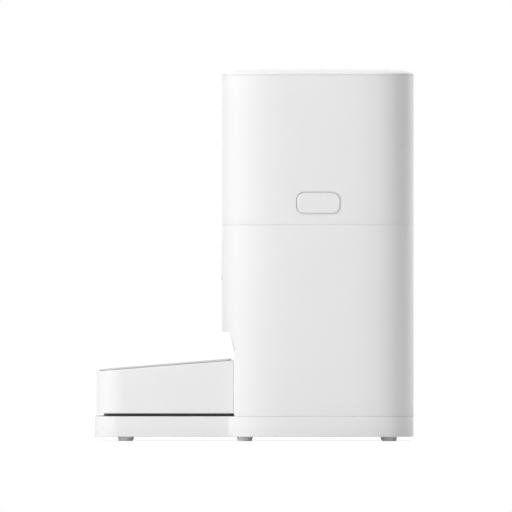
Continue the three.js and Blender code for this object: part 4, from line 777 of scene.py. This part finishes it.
def front_panel():
    """A glossy cover with holes for the button and the light."""
    edge = 0.5
    back = 1.2
    lip = 2.0
    face_insets = (1.5, 4.0, 8.0, 11.5)
    button_gap = 0.4
    panel_angle = 30.0

    def ring(inset, depth):
        """One ring that follows the bow of the tower's front."""
        points = []
        for u, v in rounded(PANEL, (0.0, PANEL_Z), -inset, 12):
            bow = (1 - (abs(u) / HALF_TOWER) ** OUTLINE_POWER) ** (1 / OUTLINE_POWER)
            points.append(Vector((u, TOWER_CENTRE_Y - TOWER_REACH * bow - depth, v)))
        return points

    rings = [ring(lip, -back), ring(0.0, -back), ring(0.0, PANEL_PROUD - edge)]
    rings += [ring(*row) for row in face_bend(PANEL_PROUD, edge)]
    rings += [ring(inset, PANEL_PROUD) for inset in face_insets]
    panel = make_piece("front_panel_cover", loft(rings))
    through = (TOWER_FRONT_Y - OVERRUN, TOWER_FRONT_Y + OVERRUN)
    button_hole = circle(FEED_BUTTON_RADIUS + button_gap, BUTTON_ROUND, (0.0, FEED_BUTTON_Z))
    light_hole = rounded(LIGHT_HOLE, (0.0, LIGHT_Z), steps=8)
    cut(panel, loft(along_y(button_hole, *through)))
    cut(panel, loft(along_y(light_hole, *through)))
    smooth(panel.data, panel_angle)
    dress(panel, "gloss_white", "base", "front_panel")


def feed_button():
    """A round cap with a shallow dish, its flange and its stem."""
    stem_radius = 2.5
    stem_length = 1.6
    flange_radius = 9.7
    flange_thick = 1.2
    # The rim as inset and depth, and the dish as radius and depth
    rim_bend = [(0.0, 0.7), (0.04, 0.45), (0.15, 0.2), (0.35, 0.05), (0.9, 0.0)]
    dish = [(7.2, 0.03), (6.0, 0.16), (4.0, 0.3), (2.0, 0.38), (0.3, 0.4)]
    front = TOWER_FRONT_Y - PANEL_PROUD
    flange_front = TOWER_FRONT_Y + PANEL_SEAT
    flange_back = flange_front + flange_thick
    profile = [(stem_radius, flange_back + stem_length), (stem_radius, flange_back)]
    profile += [(flange_radius, flange_back), (flange_radius, flange_front)]
    profile += [(FEED_BUTTON_RADIUS, flange_front)]
    profile += [(FEED_BUTTON_RADIUS - inset, front + depth) for inset, depth in rim_bend]
    profile += moved(dish, 0.0, front)
    piece = make_piece("feed_button_cap", turned(profile, (0.0, FEED_BUTTON_Z), BUTTON_ROUND, "y"))
    dress(piece, "gloss_white", "feed_button", "feed_button")


def deck():
    """The plate under the drum, with the outlet, the shaft's bore and a hole for the wires."""
    edge = 0.3
    bore_radius = 4.8
    wire_radius = 10.0
    wire_place = (44.5, 134.65)
    rows = [(INNER + edge, DECK_Z), (INNER, DECK_Z + edge)]
    rows += [(INNER, DECK_TOP_Z - edge), (INNER + edge, DECK_TOP_Z)]
    plate = make_piece("deck_plate", loft(tower_rings(rows)))
    bore = circle(bore_radius, centre=(0.0, ROTOR_Y))
    wire_hole = circle(wire_radius, centre=wire_place)
    for hole in (outlet_sector(), bore, wire_hole):
        cut(plate, loft(along_z(hole, DECK_Z - OVERRUN, DECK_TOP_Z + OVERRUN)))
    smooth(plate.data)
    dress(plate, "inner_plastic", "base", "deck")


def power_socket():
    """A barrel flush with the back, with a bore and a pin."""
    edge = 0.2
    bore = 2.8
    bore_edge = 0.1
    bore_depth = 7.8
    pin = 1.0
    pin_edge = 0.4
    pin_back = 1.0
    barrel_back = 5.5
    body_back = (13.0, 8.0)
    least = 0.1
    wall_y = TOWER_REAR_Y - INNER
    face_y = TOWER_REAR_Y - GAP
    bore_end = wall_y - bore_depth
    pin_end = face_y - pin_back
    rows = [(SOCKET_RADIUS, wall_y - barrel_back), (SOCKET_RADIUS, face_y - edge)]
    rows += [(SOCKET_RADIUS - edge, face_y), (bore + bore_edge, face_y), (bore, face_y - bore_edge)]
    rows += [(bore, bore_end), (pin, bore_end), (pin, pin_end - pin_edge)]
    rows += [(pin - edge, pin_end), (least, pin_end)]
    body = rounded(SOCKET_BODY, (0.0, SOCKET_Z), steps=4)
    piece = make_piece(
        "power_socket_barrel",
        turned(rows, (0.0, SOCKET_Z), along="y"),
        loft(along_y(body, *(wall_y - back for back in body_back))),
    )
    dress(piece, "dark_plastic", "base", "power_socket")


# Lid: a crowned cover over a plug that holds the seal and the desiccant box

def lid_cover():
    """A pressed lid: a soft lower edge, a round shoulder and a crown that flattens to the middle."""
    # The underside as inset and rise, and the shoulder's angles in degrees
    underside = [(6.6, 0.6), (2.6, 0.1), (0.7, 0.0)]
    shoulder_angles = (10, 22, 34, 46, 58, 70, 80)
    shoulder_in = 2.4
    shoulder_up = 1.9
    side_up = 0.6
    crown_reach = 50.0
    crown_steps = 12
    inset_power = 1.3
    rise_power = 2.2
    rows = moved(underside, 0.0, LID_BOTTOM_Z)
    rows += arc((SOFT_EDGE, LID_BOTTOM_Z + SOFT_EDGE), SOFT_EDGE, 250, 180, 3)
    for turn in map(math.radians, shoulder_angles):
        rise = side_up + shoulder_up * math.sin(turn)
        rows.append((shoulder_in * (1 - math.cos(turn)), LID_BOTTOM_Z + rise))
    for step in range(1, crown_steps + 1):
        share = step / crown_steps
        inset = shoulder_in + (crown_reach - shoulder_in) * share ** inset_power
        rows.append((inset, LID_TOP_Z - (LID_TOP_Z - LID_EDGE_Z) * (1 - share) ** rise_power))
    piece = make_piece("lid_skin", loft(tower_rings(rows)))
    dress(piece, "shell_white", "lid", "lid_cover")


def lid_plug():
    """A cup with a bore in its floor for the desiccant box."""
    thick = 2.5
    # The lower edge as inset and rise, and the chamfers of the bore
    low_bend = [(1.1, 0.0), (0.3, 0.3), (0.0, 1.1)]
    top_chamfer = 0.3
    low_chamfer = 0.4
    bore = BOX_RADIUS + GAP
    floor_z = PLUG_BOTTOM_Z + PLUG_FLOOR
    rows = moved(low_bend, PLUG_INSET, PLUG_BOTTOM_Z)
    rows += [(PLUG_INSET, PLUG_TOP_Z), (PLUG_INSET + thick, PLUG_TOP_Z), (PLUG_INSET + thick, floor_z)]
    bore_rows = [(bore + top_chamfer, floor_z), (bore, floor_z - top_chamfer)]
    bore_rows += [(bore, PLUG_BOTTOM_Z + low_chamfer), (bore + low_chamfer, PLUG_BOTTOM_Z)]
    rings = tower_rings(rows) + [round_ring(radius, z, TOWER_CENTRE_Y) for radius, z in bore_rows]
    piece = make_piece("lid_plug_cup", loft(rings, looped=True))
    dress(piece, "inner_plastic", "lid", "lid_plug")


def lid_seal():
    """A band with two thin lips that wipe the bin's wall."""
    middle_up = 6.5
    # The lower half of the band, as inset and distance from its middle
    lower_half = [(5.4, 1.7), (4.6, 1.6), (2.95, 1.15), (2.85, 0.95), (3.0, 0.8), (4.4, 0.45)]
    middle = PLUG_BOTTOM_Z + middle_up
    rows = [(inset, middle - rise) for inset, rise in lower_half]
    rows += [(inset, middle + rise) for inset, rise in reversed(lower_half)]
    piece = make_piece("lid_seal_lips", loft(tower_rings(rows), looped=True))
    dress(piece, "silicone", "lid", "lid_seal")


def desiccant_box():
    """A cup that opens downwards and hangs by its flange on the plug's floor."""
    height = 9.0
    edge = 0.3
    fillet = 1.0
    high_edge = 0.6
    flange_reach = 3.0
    least = 0.3
    low = PLUG_BOTTOM_Z
    high = low + height
    ceiling = high - BOX_WALL
    flange = low + PLUG_FLOOR + GAP
    flange_top = flange + BOX_WALL
    bore = BOX_RADIUS - BOX_WALL
    rows = [(least, ceiling), (bore - fillet, ceiling), (bore, ceiling - fillet), (bore, low + edge)]
    rows += [(bore + edge, low), (BOX_RADIUS - edge, low), (BOX_RADIUS, low + edge), (BOX_RADIUS, flange)]
    rows += [(BOX_RADIUS + flange_reach, flange), (BOX_RADIUS + flange_reach, flange_top)]
    rows += [(BOX_RADIUS, flange_top), (BOX_RADIUS, high - high_edge)]
    rows += [(BOX_RADIUS - high_edge, high), (least, high)]
    piece = make_piece("desiccant_box_cup", turned(rows, (0.0, TOWER_CENTRE_Y), WIDE_ROUND))
    dress(piece, "inner_plastic", "lid", "desiccant_box")


def desiccant_cover():
    """A pierced disc with a grip bar."""
    radius = 25.0
    thick = 1.6
    edge = 0.4
    least = 0.3
    slot_count = 16
    slot_size = (8.6, 2.0, 1.0)
    slot_middle = 15.6
    # The grip's rows: half length, half width, and rise from the disc's underside
    grip_rows = [(8.0, 0.7, -3.2), (8.4, 1.1, -2.8), (8.4, 1.3, -0.4), (8.8, 1.6, 0.8)]
    low = PLUG_BOTTOM_Z
    high = low + thick
    rows = [(least, low), (radius - edge, low), (radius, low + edge), (radius, high), (least, high)]
    disc = make_piece("desiccant_cover_disc", turned(rows, (0.0, TOWER_CENTRE_Y), WIDE_ROUND))
    slots = []
    for i in range(slot_count):
        turn = 2 * math.pi * (i + 0.5) / slot_count
        outline = []
        for u, v in rounded(slot_size, (slot_middle, 0.0), steps=4):
            x = u * math.cos(turn) - v * math.sin(turn)
            y = u * math.sin(turn) + v * math.cos(turn)
            outline.append((x, TOWER_CENTRE_Y + y))
        slots.append(loft(along_z(outline, low - OVERRUN, high + OVERRUN)))
    cut(disc, *slots)
    grip = []
    for half_x, half_y, rise in grip_rows:
        outline = rounded((2 * half_x, 2 * half_y, half_y), (0.0, TOWER_CENTRE_Y), steps=6)
        grip += along_z(outline, low + rise)
    join(disc, loft(grip))
    smooth(disc.data, FINE_ANGLE)
    dress(disc, "inner_plastic", "desiccant_cover", "desiccant_cover")


# Base, feet, mat, bowl holder and bowl

def middles(nodes):
    """The middle in plan of each CAD node, in millimetres."""
    places = {}
    for node in nodes:
        low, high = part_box(node)
        places[node] = ((low.x + high.x) / 2 / MM, (low.y + high.y) / 2 / MM)
    return places


PLACES = ("front", "middle", "rear")
FEET = middles(f"foot_{place}_{hand}" for place in PLACES for hand in ("left", "right"))
SCREWS = middles(f"base_screw_{index}" for index in range(1, 5))


def base_frame():
    """The base under the tower, open below, joined with its platform."""
    soft = 0.8
    lip_up = 0.3
    lip_in = 0.1
    platform_ceiling = 22.0
    side_heights = (15.0, 20.0)
    opening_inset = 5.1
    top_insets = (3.0, 12.0, 30.0, 55.0)
    under_insets = (55.0, 30.0, 12.0)
    rows = [(WALL, platform_ceiling), (WALL, FOOT_HEIGHT + lip_up), (soft + lip_in, FOOT_HEIGHT)]
    rows += low_edge(FOOT_HEIGHT, soft, 6) + [(0.0, z) for z in side_heights] + top_edge(BASE_TOP_Z)
    tower = tower_rings(rows + [(WALL, BASE_TOP_Z)])
    tower += [tower_ring(opening_inset, z, LOWER_FRONT_Y) for z in (BASE_TOP_Z, CEILING_Z)]
    body = make_piece("base_skin", loft(tower, looped=True))
    tray = [tray_ring(PLATFORM, inset, platform_ceiling) for inset in under_insets]
    tray += [tray_ring(PLATFORM, inset, z) for inset, z in rows]
    tray += [tray_ring(PLATFORM, inset, BASE_TOP_Z) for inset in top_insets]
    join(body, loft(tray))
    dress(body, "shell_white", "base", "base_frame")


def bottom_cover():
    """The plate in the underside, with seats for the feet and screws and the door's opening."""
    edge = 0.3
    below = COVER_BOTTOM_Z - OVERRUN
    above = COVER_TOP_Z + OVERRUN
    rows = [(INNER + edge, COVER_BOTTOM_Z), (INNER, COVER_BOTTOM_Z + edge), (INNER, COVER_TOP_Z)]
    plate = make_piece("bottom_cover_plate", loft(tower_rings(rows)))
    join(plate, loft([tray_ring(PLATFORM, inset, z) for inset, z in rows]))
    foot_radius = FOOT_RADIUS + GAP
    foot_seat = [(foot_radius, below), (foot_radius, FOOT_TOP_Z + GAP)]
    head = SCREW_HEAD_RADIUS + GAP
    shank = SCREW_RADIUS + GAP
    seat_z = SCREW_SEAT_Z + GAP
    screw_hole = [(head, below), (head, seat_z), (shank, seat_z), (shank, above)]
    seats = [turned(foot_seat, centre) for centre in FEET.values()]
    holes = [turned(screw_hole, centre, SMALL_ROUND) for centre in SCREWS.values()]
    cut(plate, *seats, *holes, loft(along_z(box_outline(DOOR_X, DOOR_Y), below, above)))
    smooth(plate.data)
    dress(plate, "shell_white", "base", "bottom_cover")


def battery_door_lip():
    """A tongue behind the door that closes the slot it slides in."""
    half = 50.0
    front_y = 101.5
    web_y = 102.9
    rear_y = 112.0
    low = 6.0
    high = 9.2
    sill = COVER_TOP_Z + GAP
    outline = [(front_y, low), (web_y, low), (web_y, sill), (rear_y, sill), (rear_y, high), (front_y, high)]
    piece = make_piece("battery_door_lip", loft(along_x(outline, -half, half)))
    dress(piece, "shell_white", "battery_door")


def base_screw(node, centre):
    """A pan head screw with a cross recess."""
    # The head as radius and rise from the cover's underside
    head = [(0.2, 0.0), (1.9, 0.02), (2.7, 0.2), (3.1, 0.6), (SCREW_HEAD_RADIUS, 1.1)]
    least = 0.2
    tip = 18.3
    recess_depth = 0.9
    recess_half = (1.9, 0.35)
    profile = moved(head, 0.0, COVER_BOTTOM_Z)
    profile += [(SCREW_HEAD_RADIUS, SCREW_SEAT_Z), (SCREW_RADIUS, SCREW_SEAT_Z)]
    profile += [(SCREW_RADIUS, tip - SCREW_RADIUS), (least, tip)]
    screw = make_piece(node + "_steel", turned(profile, centre, SMALL_ROUND))
    x, y = centre
    for half_x, half_y in (recess_half, reversed(recess_half)):
        cross = box_outline((x - half_x, x + half_x), (y - half_y, y + half_y))
        cut(screw, loft(along_z(cross, COVER_BOTTOM_Z - OVERRUN, COVER_BOTTOM_Z + recess_depth)))
    smooth(screw.data, FINE_ANGLE)
    dress(screw, "steel", "base", node)


def rim_height(y):
    share = (y - RIM_FRONT[0]) / (RIM_REAR[0] - RIM_FRONT[0])
    return RIM_FRONT[1] + share * (RIM_REAR[1] - RIM_FRONT[1])


def lean(ring, floor_z):
    """Lifts a ring towards the slope of the rim, all of it at the top and none at the floor."""
    level = RIM_FRONT[1]
    lifted = []
    for point in ring:
        share = min(max((point.z - floor_z) / (level - floor_z), 0.0), 1.0)
        lifted.append(Vector((point.x, point.y, point.z + share * (rim_height(point.y) - level))))
    return lifted


def bowl_holder():
    """An open tray whose top slopes with the bowl's rim."""
    low_soft = 0.6
    top_soft = 1.2
    top_drop = 1.1
    floor_up = 2.4
    opening = 8.8
    side_heights = (35.0, 45.0, 55.0)
    floor_insets = (20.0, 45.0)
    top = RIM_FRONT[1] - top_drop
    floor_z = HOLDER_BOTTOM_Z + floor_up
    rows = [(inset, HOLDER_BOTTOM_Z) for inset in reversed(floor_insets)]
    rows += low_edge(HOLDER_BOTTOM_Z, low_soft, 6)
    rows += [(0.0, z) for z in side_heights]
    rows += top_edge(top, top_soft, 6)
    rows += [(opening, top), (opening, top - WALL), (WALL, top - 2 * WALL), (WALL, floor_z + floor_up)]
    rows += [(inset, floor_z) for inset in (2 * WALL, *floor_insets)]
    rings = []
    for inset, z in rows:
        rear = BOWL_CORNER if inset == opening else None
        rings.append(lean(tray_ring(HOLDER, inset, z, rear), floor_z))
    piece = make_piece("bowl_holder_skin", loft(rings))
    dress(piece, "shell_white", "bowl_holder", "bowl_holder")


def bowl():
    """A pressed steel bowl: one sheet with a rolled flange that lies on the holder."""
    sheet = 1.0
    floor_up = 7.0
    # Rows as inset and rise: the wall from the floor, then the flange's two faces from the rim
    wall = [(50.0, 0.0), (30.0, 0.0), (24.0, 0.0), (21.5, 0.35), (19.0, 1.6), (16.6, 4.0), (14.6, 7.5)]
    flange_under = [(9.6, -2.2), (9.2, -1.4), (8.6, -1.0), (3.0, -1.0)]
    flange_top = [(4.4, 0.25), (6.0, 0.15), (8.4, 0.05), (9.4, -0.2), (10.0, -0.8), (10.5, -1.9)]
    roll_inset = 2.9
    roll_drop = 0.35
    roll_radius = 0.65
    flange_limit = 7.0
    flange_corner = 2.5
    wall_inset = 9.0
    corner_share = 0.25
    floor_z = HOLDER_BOTTOM_Z + floor_up
    level = RIM_FRONT[1]
    rows = moved(wall, 0.0, floor_z) + moved(flange_under, 0.0, level)
    rows += arc((roll_inset, level - roll_drop), roll_radius, 270, 90, 8)
    rows += moved(flange_top, 0.0, level) + moved(reversed(wall), sheet, floor_z + sheet)
    rings = []
    for inset, z in rows:
        rear = flange_corner if inset < flange_limit else BOWL_CORNER - corner_share * (inset - wall_inset)
        rings.append(lean(tray_ring(HOLDER, inset, z, rear), floor_z + sheet))
    piece = make_piece("bowl_pressed", loft(rings))
    dress(piece, "bowl_steel", "bowl", "bowl")


def holder_mat():
    """The soft pad between the platform and the holder."""
    gap = 0.2
    low_inset = 0.6
    edge = 0.5
    top_insets = (5.0, 25.0)
    top = HOLDER_BOTTOM_Z - gap
    rows = [(low_inset, BASE_TOP_Z), (0.0, BASE_TOP_Z + edge), (0.0, top - edge), (edge, top)]
    rows += [(inset, top) for inset in top_insets]
    piece = make_piece("holder_mat", loft([tray_ring(MAT, inset, z) for inset, z in rows]))
    dress(piece, "mat_rubber", "base", "holder_pad")


def foot_body(name, profile, centre):
    """A round body from the radius and height pairs of its side."""
    least = 0.4
    closed = [(least, profile[0][1]), *profile, (least, profile[-1][1])]
    return make_piece(name, turned(closed, centre))


def rubber_foot(node, centre):
    """A rubber pad on the floor under a white seat."""
    edge = 0.3
    pad_top = 3.0
    pad = [(6.3, 0.0), (6.8, 0.1), (7.1, 0.35), (7.3, 0.9), (7.6, pad_top)]
    seat = [(FOOT_RADIUS - edge, pad_top), (FOOT_RADIUS, pad_top + edge), (FOOT_RADIUS, FOOT_TOP_Z)]
    dress(foot_body(node.replace("foot", "foot_seat"), seat, centre), "shell_white", "base")
    dress(foot_body(node.replace("foot", "rubber"), pad, centre), "foot_rubber", "base", node)


bin_shell()
bin_frame()
hopper_funnel()
metering_drum()
release_button("release_button_right", 1)
release_button("release_button_left", -1)
lower_housing()
front_panel()
feed_button()
deck()
power_socket()
lid_cover()
lid_plug()
lid_seal()
desiccant_box()
desiccant_cover()
base_frame()
bottom_cover()
battery_door_lip()
bowl_holder()
bowl()
holder_mat()
for node, centre in FEET.items():
    rubber_foot(node, centre)
for node, centre in SCREWS.items():
    base_screw(node, centre)


# CAD nodes that stay: a finish from their own slot, smooth shading and, where they show, soft edges

SOFTENED = dict(
    battery_door=0.25,
    battery_case=0.3,
    chute=0.3,
    level_sensor_left=0.4,
    level_sensor_right=0.4,
    light_guide=0.2,
    metering_rotor=0.3,
    stirrer=0.3,
    drive_shaft=0.3,
    outlet_baffle=0.2,
    outlet_seal=0.2,
)
slots = {entry["node"]: entry["material_slot"] for entry in frame["record"]["subparts"]}
for name, node in frame["nodes"].items():
    if node.hide_render:
        continue
    node.data.materials.clear()
    node.data.materials.append(MATERIALS[slots[name]])
    smooth(node.data, FINE_ANGLE)
    if name in SOFTENED:
        bevel(node, SOFTENED[name])


# Floor, world, lamps and camera, in metres

def link_maths(nodes, links, operation, first, second):
    """The result of one operation on two values, each a socket or a number."""
    maths = nodes.new("ShaderNodeMath")
    maths.operation = operation
    for socket, value in zip(maths.inputs, (first, second)):
        if isinstance(value, float):
            socket.default_value = value
        else:
            links.new(value, socket)
    return maths.outputs[0]


def seen_white(nodes, links):
    """One where the camera, a mirror or glass looks, and zero for the light itself."""
    path = nodes.new("ShaderNodeLightPath")
    seen = link_maths(nodes, links, "MAXIMUM", path.outputs["Is Camera Ray"], path.outputs["Is Glossy Ray"])
    return link_maths(nodes, links, "MAXIMUM", seen, path.outputs["Is Transmission Ray"])


def floor():
    """A plain floor that looks white and keeps the object's shadow."""
    half = 3.0
    tones = (0.8, 0.2)
    glow_reach = (0.5, 1.6)
    glow_levels = (0.86, 1.0)
    mesh = bpy.data.meshes.new("floor")
    corners = box_outline((-half, half), (-half, half))
    mesh.from_pydata([(x, y, 0.0) for x, y in corners], [], [(0, 1, 2, 3)])
    plane = add_object("floor", mesh)
    material, nodes, links, shader = new_material("floor_white")
    shader.inputs["Roughness"].default_value = 1.0
    shader.inputs["Specular IOR Level"].default_value = 0.0
    shader.inputs["Emission Color"].default_value = (1, 1, 1, 1)
    seen = seen_white(nodes, links)
    links.new(map_range(nodes, links, seen, (0.0, 1.0), tones), shader.inputs["Base Color"])
    coord = nodes.new("ShaderNodeTexCoord")
    distance = nodes.new("ShaderNodeVectorMath")
    distance.operation = "LENGTH"
    links.new(coord.outputs["Object"], distance.inputs[0])
    glow = map_range(nodes, links, distance.outputs["Value"], glow_reach, glow_levels)
    shine = link_maths(nodes, links, "MULTIPLY", seen, glow)
    links.new(shine, shader.inputs["Emission Strength"])
    mesh.materials.append(material)


def world_light():
    """A white world where it is seen, and a weak one where it lights."""
    world = bpy.data.worlds.new("studio")
    bpy.context.scene.world = world
    world.use_nodes = True
    nodes = world.node_tree.nodes
    links = world.node_tree.links
    nodes.clear()
    soft = nodes.new("ShaderNodeBackground")
    soft.inputs["Strength"].default_value = WORLD_STRENGTH
    white = nodes.new("ShaderNodeBackground")
    white.inputs["Color"].default_value = (1, 1, 1, 1)
    white.inputs["Strength"].default_value = 1.0
    mix = nodes.new("ShaderNodeMixShader")
    out = nodes.new("ShaderNodeOutputWorld")
    links.new(seen_white(nodes, links), mix.inputs["Fac"])
    links.new(soft.outputs[0], mix.inputs[1])
    links.new(white.outputs[0], mix.inputs[2])
    links.new(mix.outputs[0], out.inputs["Surface"])


def soft_box(name, azimuth, power, width, distance=2.6, height=0.3, tall=2.4):
    """A lamp at a compass angle from +X towards +Y, aimed at the middle of the tower."""
    data = bpy.data.lights.new(name, "AREA")
    data.shape = "RECTANGLE"
    data.size = width
    data.size_y = tall
    data.energy = power
    lamp = add_object(name, data)
    angle = math.radians(azimuth)
    target = Vector((0.0, 0.03, 0.18))
    lamp.location = target + Vector((distance * math.cos(angle), distance * math.sin(angle), height))
    lamp.rotation_mode = "QUATERNION"
    lamp.rotation_quaternion = (target - lamp.location).to_track_quat("-Z", "Y")
    return lamp


def overhead_lamp():
    """A square lamp straight above, which gloss and steel don't mirror."""
    width = 3.3
    lamp = soft_box("overhead", 0.0, OVERHEAD_POWER, width, distance=0.01, height=3.2, tall=width)
    lamp.visible_glossy = False


def camera():
    """A square view of the right side from far away, with next to no perspective."""
    data = bpy.data.cameras.new("camera")
    data.sensor_width = 36.0
    data.lens = data.sensor_width / 2 * CAMERA_DISTANCE / (HALF_VIEW * MM)
    data.clip_start = 0.1
    data.clip_end = 100.0
    cam = add_object("camera", data)
    cam.location = (CAMERA_DISTANCE, VIEW_Y * MM, VIEW_Z * MM)
    cam.rotation_euler = (math.pi / 2, 0.0, math.pi / 2)
    bpy.context.scene.camera = cam


floor()
world_light()
overhead_lamp()
# Gloss and steel mirror the pale room and two lamps, because more of them would clip the lid to white
for azimuth, power, width, mirrored in LAMPS:
    lamp = soft_box(f"lamp_{azimuth}", azimuth, power, width)
    lamp.visible_glossy = mirrored
camera()
bpy.context.scene.view_settings.view_transform = "Standard"
